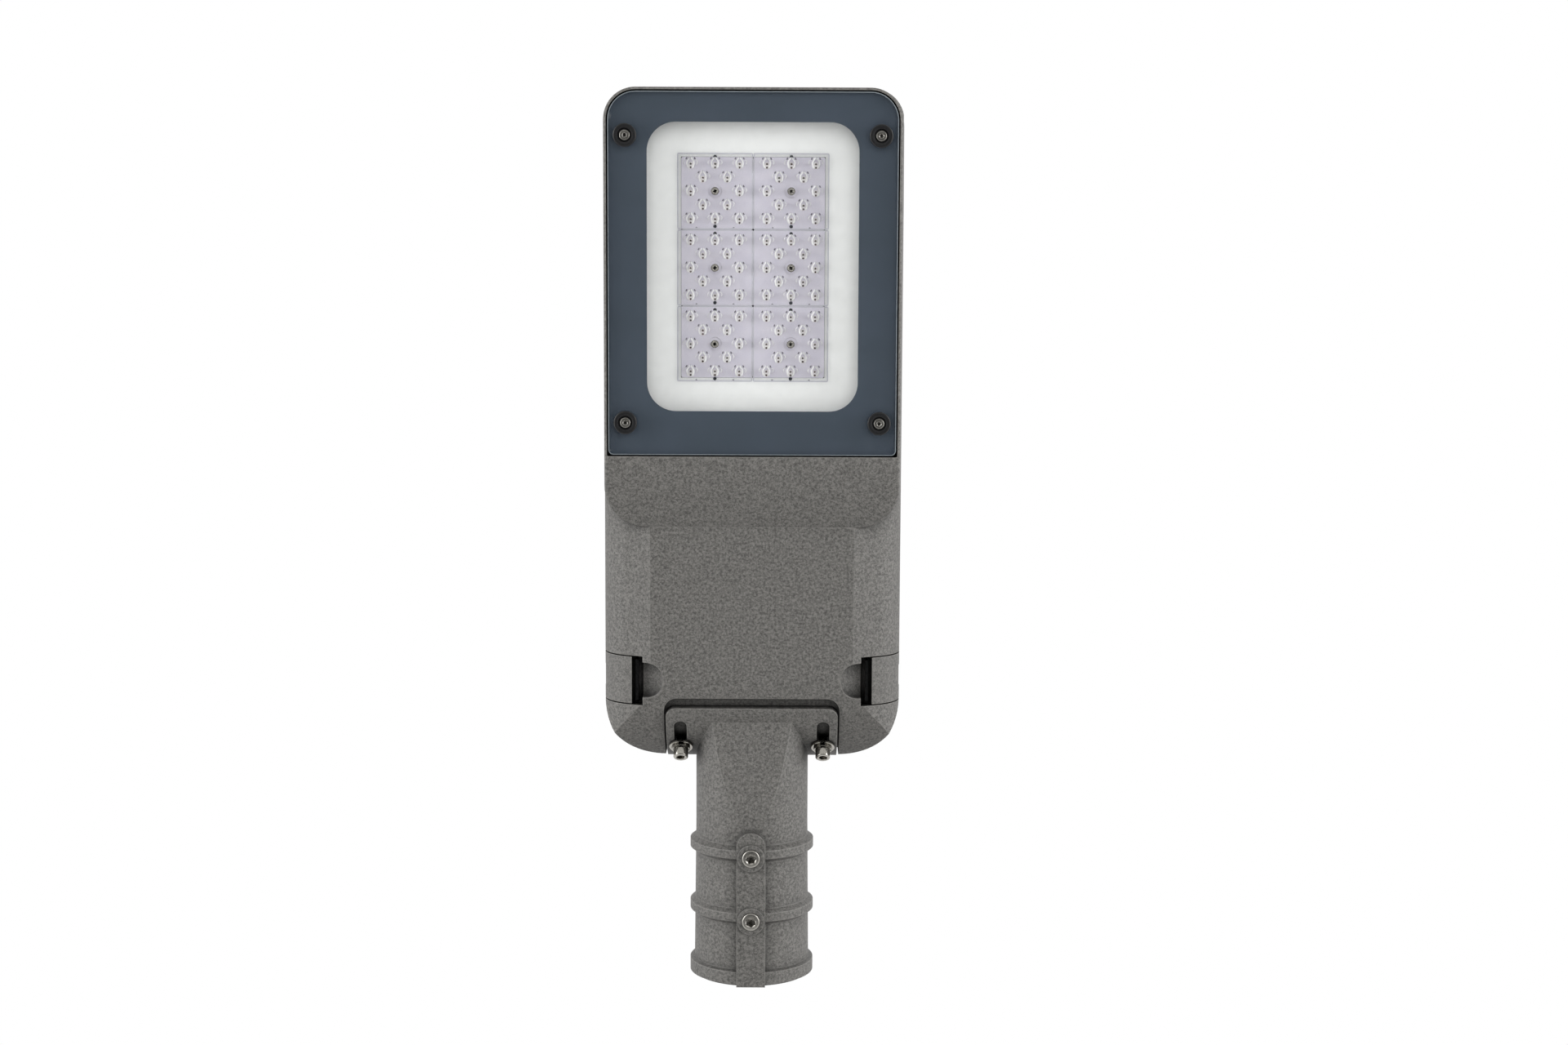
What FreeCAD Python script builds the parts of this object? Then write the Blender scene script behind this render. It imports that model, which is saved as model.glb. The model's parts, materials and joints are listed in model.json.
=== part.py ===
import FreeCAD, Part
import math
import os
from FreeCAD import Vector

os.makedirs("parts", exist_ok=True)

# Sizes are in millimetres and angles in degrees.
# The origin is the middle of the spigot's mouth, where the pole enters along the Y axis.
# The head lies towards -Y, its glass looks down, and +Z is up.

# Head seen from below
tip_y = -600.6
rear_y = -151.8
half_width = 100.2
rim_taper = 3.0
tip_radius = 21.0
rear_radius = 42.0
wall = 3.5

# Levels of the head
glass_z = -46.0
plateau_z = -34.0
joint_z = 14.0
crown_z = 41.0
tip_top_z = -7.0
fin_top_z = 10.0

# Belly section
belly_side = 32.2
facet_side = 16.2
facet_rise = 8.0
shoulder_radius = 18.0
shoulder_sweep = 80.0
shoulder_start = 4.0
tail_run = 63.0
tail_top_round = 12.0
# How far a cut runs past what it cuts, and a root into what carries it
overrun = 1.0

# Lip between the glass and the belly
lip_start_y = -360.6
lip_end_y = -312.2
lip_radius = 28.0

# Glass, its seat and the light chamber
rim_width = 1.7
rim_round = 1.6
glass_gap = 0.9
glass_rear_radius = 3.4
glass_seat_rear_radius = 1.0
glass_thickness = 4.0
gasket_thickness = 1.5
gasket_margin = 0.5
chamber_side = 22.2
chamber_front_set = 10.6
chamber_rear_set = 17.4
chamber_radius = 14.0
led_plate_z = -27.0
led_plate_thickness = 5.0
clip_side = 14.0
clip_front_set = 31.1
clip_rear_set = 22.3
clip_radius = 7.6
clip_height = 3.0
clip_edge = 0.8
screw_play = 0.2
clip_recess_radius = 4.6
clip_recess_depth = 2.3
glass_hole_radius = 3.0
glass_screw_radius = 2.0
glass_screw_length = 14.0
glass_screw_head_radius = 3.4
glass_screw_head_height = 2.0
glass_screw_key_depth = 1.4
glass_screw_key = 2.5

# Lens modules, two across and three along
module_pitch = 50.0
module_size = 49.6
module_columns = 2
module_rows = 3
board_thickness = 1.6
board_margin = 2.8
board_gap = 0.4
led_size = 2.6
led_height = 0.7
lens_plate_thickness = 1.5
lens_column_pitch = 15.8
lens_row_pitch = 8.93
lens_half_x = 4.6
lens_half_y = 3.5
lens_top_x = 2.6
lens_top_y = 2.3
lens_height = 3.8
lens_cut = 1.4
lens_top_cut = 1.1
lens_root = 0.1
module_skirt = 1.4
lens_screw_radius = 1.5
lens_screw_head_radius = 2.4
lens_screw_head_height = 1.4
lens_screw_length = 6.0
reflector_thickness = 1.0
reflector_gap = 0.4
seat_ring_radius = 4.2
seat_ring_height = 0.8
stack_gap = 0.02
lens_play = 0.2

# Cooling fins over the light chamber
fin_count = 13
fin_margin = 10.0
fin_thickness = 2.6
fin_front_set = 6.6
fin_rear_set = 25.4
fin_side = 6.2
nose_radius = 12.0
hinge_shelf = 6.0

# Driver compartment under the top cover
bay_front_y = -348.0
bay_rear_y = -178.0
bay_radius = 14.0
bay_lip = 8.0
bay_lip_depth = 4.0
rear_room_set = 8.0
shoulder_y = -168.0
cover_front_y = -366.5
cover_gap = 0.4
cover_wall = 2.8
cover_corner = 20.0
cover_front_round = 16.0
cover_ledge_depth = 2.5
seal_width = 4.0
seal_height = 2.0
seal_gap = 0.3
rib_count = 4
rib_pitch = 40.0
rib_depth = 5.0
rib_thickness = 2.4
rib_end_set = 30.2

# Cover hinge, pins along X
hinge_y = -373.5
hinge_z = 18.0
hinge_x = 62.0
hinge_pin_radius = 2.5
hinge_fit = 0.08
hinge_knuckle_radius = 5.0
hinge_knuckle_length = 18.0
hinge_ear_length = 6.0
hinge_side_gap = 0.4
hinge_well_gap = 1.2
hinge_foot_depth = 4.0
hinge_arm_drop = 2.0
hinge_arm_rise = 3.0

# Tilting bracket, its arc is round a line along X
seat_radius = 52.7
seat_set_back = 0.8
arc_centre_z = 24.4
arc_gap = 0.3
flange_thickness = 5.0
flange_half = 57.9
flange_start = 16.0
flange_end = 84.0
flange_corner = 6.5
cutout_half = 59.0
cutout_y = -196.1
cutout_radius = 8.6
seat_wall = 4.0
cable_angle = 69.5
grommet_radius = 6.5
grommet_bore = 4.2
grommet_lip = 2.0
grommet_inside = 3.0
grommet_set = 0.6
grommet_collar = 2.7

# Tilt bolts and their slots
bolt_x = 48.2
bolt_angle = 50.5
bolt_radius = 3.0
bolt_length = 22.0
bolt_head_radius = 5.0
bolt_head_height = 6.0
bolt_key = 5.0
bolt_key_depth = 3.0
bolt_boss_radius = 7.5
bolt_boss_depth = 14.0
washer_radius = 8.0
washer_thickness = 1.6
spring_radius = 6.1
spring_thickness = 1.8
spring_split = 1.0
slot_half = 4.3
slot_start = 26.2
slot_end = 61.0

# Spigot tube
tube_radius = 38.2
mouth_radius = 39.3
tube_start_y = -108.0
bracket_start = 8.0
bore_radius = 31.5
bore_depth = 95.0
cable_way_radius = 17.0
ring_radius = 42.2
ring_base = 11.5
ring_crest = 5.5
ring_root = 3.0
end_ring_crest = 8.5
ring_places = (-91.2, -48.0)
neck_low_y = -108.0
neck_low_end_y = -178.0
neck_low_end_z = -27.3
neck_top_y = -104.0
neck_top_end_y = -149.0
neck_top_end_z = 16.0
strip_half = 9.7
strip_start_y = -106.5
strip_z = -42.6
boss_z = -43.6
boss_radius = 9.3
pole_screw_places = (-89.3, -45.8)
pole_screw_radius = 6.0
pole_screw_z = -45.0
pole_screw_length = 13.0
pole_screw_key = 6.0
pole_screw_key_depth = 5.0
thread_gap = 0.05

# Latches at both sides of the head
latch_front_y = -223.8
latch_rear_y = -192.0
latch_gap = 0.8
latch_reach = 19.5
latch_wall = 3.2
latch_top_z = 6.0
latch_pin_inset = 5.2
latch_pin_z = 1.5
latch_pin_radius = 2.0
latch_pin_fit = 0.08
latch_hub_radius = 4.0
latch_hub_length = 6.4
latch_pin_seat = 3.5
pocket_depth = 11.7
pocket_reach = 27.0
pocket_roof_z = -19.0
clip_strip_inset = 23.0
clip_strip_width = 2.0
clip_strip_drop = 7.0
clip_strip_end = 2.0
bail_inset = 8.7
bail_z = -5.0
bail_pin_radius = 1.5
bail_pin_fit = 0.08
bail_knuckle_radius = 2.4
bail_half = 7.0
bail_thickness = 1.6
bail_top_z = 26.0
bail_bar = 3.0
bail_leg = 3.0
bail_ear = 2.4
bail_gap = 0.5
latch_web_gap = 1.5
bail_window_set = 6.0
keeper_arm = 7.0
keeper_thickness = 2.0
keeper_half = 3.5
keeper_drop = 1.3
keeper_plate_thickness = 1.5
keeper_plate_side = 3.0
keeper_plate_low = 0.6
keeper_plate_high = 5.0
keeper_pocket_top = 30.0

# Finger scoops beside the latches
scoop_reach = 40.8
scoop_front_y = -220.5
scoop_rear_y = -196.7
scoop_depth = 12.0
scoop_radius = 11.5
scoop_bow = 1.5
scoop_bow_share = 0.72

# Pieces inside the compartment
driver_half = 55.0
driver_tab = 11.0
driver_tab_half = 14.0
driver_tab_thickness = 3.0
driver_front_y = -338.0
driver_rear_y = -274.0
driver_height = 34.0
driver_edge = 2.0
driver_screw_radius = 2.0
driver_screw_head_radius = 3.6
driver_screw_head_height = 2.6
driver_screw_bite = 2.0
surge_x = -37.0
surge_y = -247.0
surge_length = 46.0
surge_width = 32.0
surge_height = 26.0
surge_edge = 2.0
terminal_x = 24.0
terminal_y = -248.0
terminal_length = 44.0
terminal_width = 20.0
terminal_height = 20.0
terminal_ways = 3
terminal_mouth_half = 3.5
terminal_mouth_depth = 6.0
terminal_mouth_low = 4.0
terminal_mouth_high = 11.0
terminal_well_half = 3.0
terminal_well_depth = 4.0
clamp_y = -215.0
clamp_length = 38.0
clamp_width = 10.0
clamp_thickness = 4.0
clamp_post_x = 13.0
clamp_post_height = 9.0
clamp_post_radius = 4.0
clamp_arch_radius = 4.5
clamp_arch_drop = 2.5
clamp_screw_bite = 7.0
earth_x = 44.0
earth_y = -218.0
earth_post_height = 5.0
earth_screw_length = 4.5
lead_z = -21.0
lead_radius = 2.5
lead_start_y = -380.0
lead_well_half = 8.0
lead_well_front_y = -388.0
lead_well_top_z = -15.0
gland_radius = 6.5
gland_length = 8.0
gland_neck_radius = 4.0
gland_neck_length = 10.0

# Values worked out from the sizes above
rib_half = half_width - rib_end_set
rim_half_width = half_width - rim_taper
plateau_half = half_width - belly_side
facet_half = half_width - facet_side
chamber_half = rim_half_width - chamber_side
chamber_front_y = tip_y + chamber_front_set
chamber_rear_y = lip_start_y - chamber_rear_set
clip_x = rim_half_width - clip_side
clip_front_y = tip_y + clip_front_set
clip_rear_y = lip_start_y - clip_rear_set
module_centre_y = (chamber_front_y + chamber_rear_y) / 2
fin_front_y = tip_y + fin_front_set
fin_rear_y = lip_start_y - fin_rear_set
fin_half = half_width - fin_side
fin_pitch = 2 * (fin_half - fin_margin) / (fin_count - 1)
latch_inner_x = half_width - latch_reach
latch_pin_x = half_width - latch_pin_inset
pocket_inner_x = half_width - pocket_depth
pocket_edge_x = half_width - pocket_reach
clip_strip_x = half_width - clip_strip_inset
bail_x = half_width - bail_inset
scoop_inner_x = half_width - scoop_reach
board_half_x = module_columns * module_pitch / 2 - board_margin
board_half_y = module_rows * module_pitch / 2 - board_margin
arc_centre_y = rear_y - seat_set_back - seat_radius
flange_inner = seat_radius + arc_gap
flange_outer = flange_inner + flange_thickness
facet_z = plateau_z + facet_rise
glass_half = rim_half_width - rim_width - glass_gap
glass_front_y = tip_y + rim_width + glass_gap
glass_rear_y = lip_start_y - glass_gap
glass_radius = tip_radius - rim_width
seat_z = glass_z + glass_thickness + gasket_thickness
bay_floor_z = plateau_z + wall
lip_level_z = joint_z - bay_lip_depth
lens_floor_z = led_plate_z - board_thickness
lens_low_z = lens_floor_z - led_height - lens_play - lens_plate_thickness
arc_centre = Vector(0, arc_centre_y, arc_centre_z)
along_x = Vector(1, 0, 0)
along_y = Vector(0, 1, 0)
up = Vector(0, 0, 1)
far = 400.0


def point(plane, a, b, level):
    """Place a flat point in the plan, the cross section or the side view."""
    if plane == "plan":
        return Vector(a, b, level)
    if plane == "section":
        return Vector(a, level, b)
    return Vector(level, a, b)


def outline(plane, start, steps):
    """Closed wire. A step is a corner, or an arc's middle and end."""
    edges = []
    here = point(plane, *steps[0], start)
    for step in list(steps[1:]) + [steps[0]]:
        there = point(plane, *step[-2:], start)
        if len(step) == 4:
            middle = point(plane, *step[:2], start)
            edges.append(Part.Arc(here, middle, there).toShape())
        elif here.distanceToPoint(there) > 0.001:
            edges.append(Part.makeLine(here, there))
        here = there
    return Part.Wire(edges)


def prism(plane, start, end, steps):
    """Extrude an outline."""
    normal = {"plan": up, "section": along_y, "side": along_x}[plane]
    return Part.Face(outline(plane, start, steps)).extrude(normal * (end - start))


def box(x0, x1, y0, y1, z0, z1):
    return Part.makeBox(x1 - x0, y1 - y0, z1 - z0, Vector(x0, y0, z0))


def rod(radius, x, y, z, direction, length):
    return Part.makeCylinder(radius, length, Vector(x, y, z), direction)


def rounded_steps(half, front_y, back_y, front_r, back_r):
    """Steps of a rectangle with its four corners rounded in the plan."""
    f = front_r * (1 - math.cos(math.radians(45)))
    b = back_r * (1 - math.cos(math.radians(45)))
    return [
        (half - front_r, front_y),
        (half - f, front_y + f, half, front_y + front_r),
        (half, back_y - back_r),
        (half - b, back_y - b, half - back_r, back_y),
        (-half + back_r, back_y),
        (-half + b, back_y - b, -half, back_y - back_r),
        (-half, front_y + front_r),
        (-half + f, front_y + f, -half + front_r, front_y),
    ]


def plan_block(half, front_y, back_y, front_r, back_r, z0, z1):
    """Upright block with its four corners rounded in the plan."""
    return prism("plan", z0, z1, rounded_steps(half, front_y, back_y, front_r, back_r))


def polar(radius, angle):
    """Point on the bracket's arc in the side view, the angle runs from below towards the pole."""
    turn = math.radians(angle)
    return (arc_centre_y + radius * math.sin(turn), arc_centre_z - radius * math.cos(turn))


def arc_cylinder(radius, half):
    return rod(radius, -half, arc_centre_y, arc_centre_z, along_x, 2 * half)


def radial(angle):
    """Direction out of the bracket's arc."""
    turn = math.radians(angle)
    return Vector(0, math.sin(turn), -math.cos(turn))


def body_section(inset, start, end):
    """The head's cross section, set in by the inset and extruded along the head."""
    w = half_width - inset
    reach = half_width - facet_half
    big = (reach ** 2 + facet_z ** 2) / (2 * reach)
    radius = big - inset
    centre = half_width - big
    begin = math.asin(-facet_z / big)
    half_turn = begin / 2
    facet_x = centre + radius * math.cos(begin)
    facet_low = -radius * math.sin(begin)
    slope = math.atan2(facet_rise, facet_half - plateau_half)
    crease_x = plateau_half - inset * math.tan(slope / 2)
    floor = plateau_z + inset
    mid = (centre + radius * math.cos(half_turn), -radius * math.sin(half_turn))
    top_r = shoulder_radius - inset
    top_z = joint_z + shoulder_start
    cx = half_width - shoulder_radius
    sweep = math.radians(shoulder_sweep)
    end_x = cx + top_r * math.cos(sweep)
    end_z = top_z + top_r * math.sin(sweep)
    mid_x = cx + top_r * math.cos(sweep / 2)
    mid_z = top_z + top_r * math.sin(sweep / 2)
    return prism("section", start, end, [
        (crease_x, floor),
        (facet_x, facet_low),
        (mid[0], mid[1], w, 0),
        (w, top_z),
        (mid_x, mid_z, end_x, end_z),
        (0, crown_z - inset, -end_x, end_z),
        (-mid_x, mid_z, -w, top_z),
        (-w, 0),
        (-mid[0], mid[1], -facet_x, facet_low),
        (-crease_x, floor),
    ])


def tail_profile(inset):
    """Side view of the belly that rounds up to the rear wall."""
    rise = -plateau_z
    radius = (tail_run ** 2 + rise ** 2) / (2 * rise)
    reach = tail_run - inset
    start_y = rear_y - tail_run
    centre_z = plateau_z + radius
    inner = radius - inset
    end_z = centre_z - math.sqrt(inner ** 2 - reach ** 2)
    half = reach / 2
    mid_z = centre_z - math.sqrt(inner ** 2 - half ** 2)
    edge = tail_top_round * (1 - math.cos(math.radians(45)))
    back = rear_y - inset
    top = crown_z + 5.0
    ceiling = crown_z - inset
    return prism("side", -far, far, [
        (tip_y - 10, plateau_z + inset),
        (start_y, plateau_z + inset),
        (start_y + half, mid_z, start_y + reach, end_z),
        (back, ceiling - tail_top_round),
        (back - edge, ceiling - edge, back - tail_top_round, ceiling),
        (back - tail_top_round, top),
        (tip_y - 10, top),
    ])


def envelope(inset):
    """The whole rounded head without the glass part, set in by the inset."""
    body = body_section(inset, tip_y + inset, rear_y - inset)
    plan = plan_block(half_width - inset, tip_y + inset, rear_y - inset, tip_radius, rear_radius - inset,
                      -far, far)
    return body.common(plan).common(tail_profile(inset))


def glass_part():
    """The deeper front part with the rim and the lip that falls back to the belly."""
    rim = outline("plan", glass_z, rounded_steps(rim_half_width, tip_y, lip_end_y, tip_radius, lip_radius))
    foot = outline("plan", 0, rounded_steps(half_width, tip_y, lip_end_y, tip_radius + rim_taper, lip_radius))
    block = Part.makeLoft([rim, foot], True, True)
    run = lip_end_y - lip_start_y
    drop = plateau_z - glass_z
    radius = (run ** 2 + drop ** 2) / (2 * drop)
    mid_z = glass_z + radius - math.sqrt(radius ** 2 - (run / 2) ** 2)
    side = prism("side", -far, far, [
        (tip_y, glass_z),
        (lip_start_y, glass_z),
        (lip_start_y + run / 2, mid_z, lip_end_y, plateau_z),
        (lip_end_y, 0),
        (tip_y, 0),
    ])
    block = block.common(side)
    edges = []
    for edge in block.Edges:
        bounds = edge.BoundBox
        lip_line = bounds.YLength < 0.1 and bounds.YMin > tip_y + 1
        upright_edge = bounds.ZMax > -1
        if not lip_line and not upright_edge:
            edges.append(edge)
    return block.makeFillet(rim_round, edges)


def top_mask():
    """Everything under the casting's top line: fins at the front, joint, raised rear end."""
    edge = nose_radius * (1 - math.cos(math.radians(45)))
    return prism("side", -far, far, [
        (tip_y, glass_z - 10),
        (tip_y, tip_top_z - nose_radius),
        (tip_y + edge, tip_top_z - edge, tip_y + nose_radius, tip_top_z),
        (hinge_y - hinge_shelf, fin_top_z),
        (hinge_y - hinge_shelf, joint_z),
        (shoulder_y, joint_z),
        (shoulder_y, crown_z + 10),
        (rear_y + 10, crown_z + 10),
        (rear_y + 10, glass_z - 10),
    ])


def light_chamber():
    """Recess for the glass and its gasket, and the deeper chamber over it."""
    seat = plan_block(rim_half_width - rim_width, tip_y + rim_width, lip_start_y, glass_radius,
                      glass_seat_rear_radius, glass_z - overrun, seat_z)
    room = plan_block(chamber_half, chamber_front_y, chamber_rear_y, chamber_radius, chamber_radius,
                      seat_z - overrun, led_plate_z)
    well = box(-lead_well_half, lead_well_half, lead_well_front_y, chamber_rear_y - 2 * overrun,
               led_plate_z - overrun, lead_well_top_z)
    return seat.fuse([room, well])


def fin_channels():
    """Spaces between the cooling fins, cut down from the sloping top."""
    first = -(fin_count - 1) / 2 * fin_pitch
    floor = led_plate_z + led_plate_thickness
    cuts = []
    for index in range(fin_count - 1):
        left = first + index * fin_pitch + fin_thickness / 2
        right = left + fin_pitch - fin_thickness
        cuts.append(box(left, right, fin_front_y, fin_rear_y, floor, crown_z))
    side = first - fin_thickness / 2
    cuts.append(box(-fin_half, side, fin_front_y + tip_radius, fin_rear_y, floor, crown_z))
    cuts.append(box(-side, fin_half, fin_front_y + tip_radius, fin_rear_y, floor, crown_z))
    return cuts


def rim_area(inset, low, high):
    """Area inside the compartment's rim, set in from the head's outline and round the latch pockets."""
    grow = bay_lip - inset
    area = plan_block(half_width - inset, bay_front_y - grow, bay_rear_y + grow, bay_radius + grow,
                      rear_radius - inset, low, high)
    for side in (-1, 1):
        pocket = box(pocket_inner_x - inset, far, latch_front_y - latch_gap - inset,
                     latch_rear_y + latch_gap + inset, low - overrun, high + overrun)
        area = area.cut(mirrored(pocket, side))
    return area


def bay():
    """Space for the driver, open at the top under the cover."""
    room = envelope(wall).common(
        plan_block(half_width - wall, bay_front_y, bay_rear_y, bay_radius, rear_radius - wall,
                   plateau_z, lip_level_z))
    behind = box(-cutout_half - wall, cutout_half + wall, cutout_y - wall, rear_y, -far, far)
    room = room.cut(behind.cut(arc_cylinder(seat_radius - seat_wall, cutout_half + 2 * wall)))
    mouth = rim_area(bay_lip, lip_level_z - overrun, joint_z + overrun)
    rear_room = arc_cylinder(seat_radius - seat_wall, cutout_half - wall).common(
        box(-half_width, half_width, bay_rear_y - rear_room_set, rear_y, plateau_z,
            crown_z - rear_room_set))
    room = room.fuse([mouth, rear_room])
    for side in (-1, 1):
        room = room.cut(latch_pocket(side, wall))
        room = room.cut(scoop_keep(side))
    return room


def mirrored(shape, side):
    """Give the shape for the +X side, or its mirror image for the -X side."""
    if side > 0:
        return shape
    return shape.mirror(Vector(0, 0, 0), along_x)


def latch_pocket(side, grow):
    """Recess for the latch in the side wall and in the belly."""
    front = latch_front_y - latch_gap - grow
    back = latch_rear_y + latch_gap + grow
    upright = box(pocket_inner_x - grow, far, front, back, glass_z, joint_z + overrun + grow)
    flat = box(pocket_edge_x - grow, half_width, front, back, glass_z, pocket_roof_z + grow)
    return mirrored(upright.fuse(flat), side)


def scoop(side):
    """Finger hollow that rises from the latch to the flat of the belly."""
    deep = plateau_z + scoop_depth
    outer = pocket_edge_x + overrun
    wedge = prism("section", scoop_front_y, scoop_rear_y, [
        (scoop_inner_x, plateau_z),
        ((scoop_inner_x + outer) / 2 - scoop_bow, plateau_z + scoop_bow_share * scoop_depth, outer, deep),
        (outer, glass_z),
        (scoop_inner_x, glass_z),
    ])
    edge = scoop_radius * (1 - math.cos(math.radians(45)))
    oval = prism("plan", glass_z, deep, [
        (outer, scoop_front_y),
        (scoop_inner_x + scoop_radius, scoop_front_y),
        (scoop_inner_x + edge, scoop_front_y + edge, scoop_inner_x, scoop_front_y + scoop_radius),
        (scoop_inner_x, scoop_rear_y - scoop_radius),
        (scoop_inner_x + edge, scoop_rear_y - edge, scoop_inner_x + scoop_radius, scoop_rear_y),
        (outer, scoop_rear_y),
    ])
    return mirrored(wedge.common(oval), side)


def scoop_keep(side):
    """Raised floor inside the compartment that covers the finger hollow."""
    block = box(scoop_inner_x - wall, pocket_edge_x, scoop_front_y - wall, scoop_rear_y + wall,
                plateau_z, plateau_z + scoop_depth + wall)
    return mirrored(block, side)


def hinge_barrel(x, length, radius):
    return rod(radius, x - length / 2, hinge_y, hinge_z, along_x, length)


def hinge_ears():
    """Ears of the casting, one at each side of both cover knuckles."""
    ears = []
    offset = hinge_knuckle_length / 2 + hinge_side_gap + hinge_ear_length / 2
    for x in (-hinge_x, hinge_x):
        for move in (-offset, offset):
            barrel = hinge_barrel(x + move, hinge_ear_length, hinge_knuckle_radius)
            foot = box(x + move - hinge_ear_length / 2, x + move + hinge_ear_length / 2,
                       hinge_y - hinge_knuckle_radius, hinge_y + hinge_knuckle_radius,
                       fin_top_z - hinge_foot_depth, hinge_z)
            ears.append(barrel.fuse(foot))
    return ears


def bolt_bosses():
    """Bosses inside the arc seat that the tilt bolts screw into."""
    bosses = []
    start = arc_centre + radial(bolt_angle) * (seat_radius - bolt_boss_depth)
    for x in (-bolt_x, bolt_x):
        bosses.append(rod(bolt_boss_radius, x, start.y, start.z, radial(bolt_angle),
                          bolt_boss_depth - overrun))
    return bosses


def radial_hole(radius, x, angle, inner, outer):
    start = arc_centre + radial(angle) * inner
    return rod(radius, x, start.y, start.z, radial(angle), outer - inner)


def housing():
    """Die-cast body with the glass seat, fins, driver compartment and arc seat."""
    body = envelope(0).fuse(glass_part()).common(top_mask())
    body = body.cut(light_chamber())
    body = body.cut(fin_channels())
    body = body.cut(bay())
    behind = plan_block(cutout_half, cutout_y, -cutout_y, cutout_radius, cutout_radius, -far, far)
    body = body.cut(behind.cut(arc_cylinder(seat_radius, half_width)))
    for side in (-1, 1):
        body = body.cut(latch_pocket(side, 0)).cut(scoop(side))
    body = body.fuse(hinge_ears() + bolt_bosses() + floor_posts())
    holes = []
    for x in (-hinge_x, hinge_x):
        span = hinge_knuckle_length + 2 * hinge_side_gap + 2 * hinge_ear_length
        holes.append(hinge_barrel(x, span + 2 * overrun, hinge_pin_radius))
        holes.append(hinge_barrel(x, hinge_knuckle_length + 2 * hinge_side_gap,
                                  hinge_knuckle_radius + hinge_well_gap))
    for x in (-bolt_x, bolt_x):
        holes.append(radial_hole(bolt_radius + thread_gap, x, bolt_angle,
                                 seat_radius - bolt_boss_depth - overrun, seat_radius + overrun))
    holes.append(radial_hole(grommet_radius, 0, cable_angle, seat_radius - 3 * seat_wall,
                             seat_radius + overrun))
    for x, y in clip_points():
        holes.append(rod(glass_screw_radius + thread_gap, x, y, seat_z - overrun, up, glass_screw_length))
    for x, y in module_points():
        holes.append(rod(lens_screw_radius + thread_gap, x, y, led_plate_z - overrun, up,
                         led_plate_thickness))
    for x, y, z, depth in post_holes():
        holes.append(rod(driver_screw_radius + thread_gap, x, y, z - depth, up, depth + overrun))
    for x, y, z in latch_stubs():
        holes.append(rod(latch_pin_radius, x, y - latch_pin_seat, z, along_y,
                         latch_hub_length + 2 * latch_pin_seat))
    start = chamber_rear_y - wall
    holes.append(rod(gland_neck_radius, 0, start, lead_z, along_y, bay_front_y - start + overrun))
    return body.cut(holes).removeSplitter()


def post_holes():
    """Screw holes of the compartment: x, y, level of the seat and depth."""
    places = []
    for x in (-1, 1):
        places.append((x * (driver_half + driver_tab / 2), (driver_front_y + driver_rear_y) / 2,
                       bay_floor_z, wall - overrun))
        places.append((x * clamp_post_x, clamp_y, bay_floor_z + clamp_post_height, clamp_post_height))
    places.append((earth_x, earth_y, bay_floor_z + earth_post_height, earth_post_height))
    return places


def floor_posts():
    """Posts on the compartment floor for the cord clamp and the earth screw."""
    posts = []
    for x in (-clamp_post_x, clamp_post_x):
        posts.append(rod(clamp_post_radius, x, clamp_y, bay_floor_z - overrun, up,
                         clamp_post_height + overrun))
    posts.append(rod(clamp_post_radius, earth_x, earth_y, bay_floor_z - overrun, up,
                     earth_post_height + overrun))
    return posts


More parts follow.
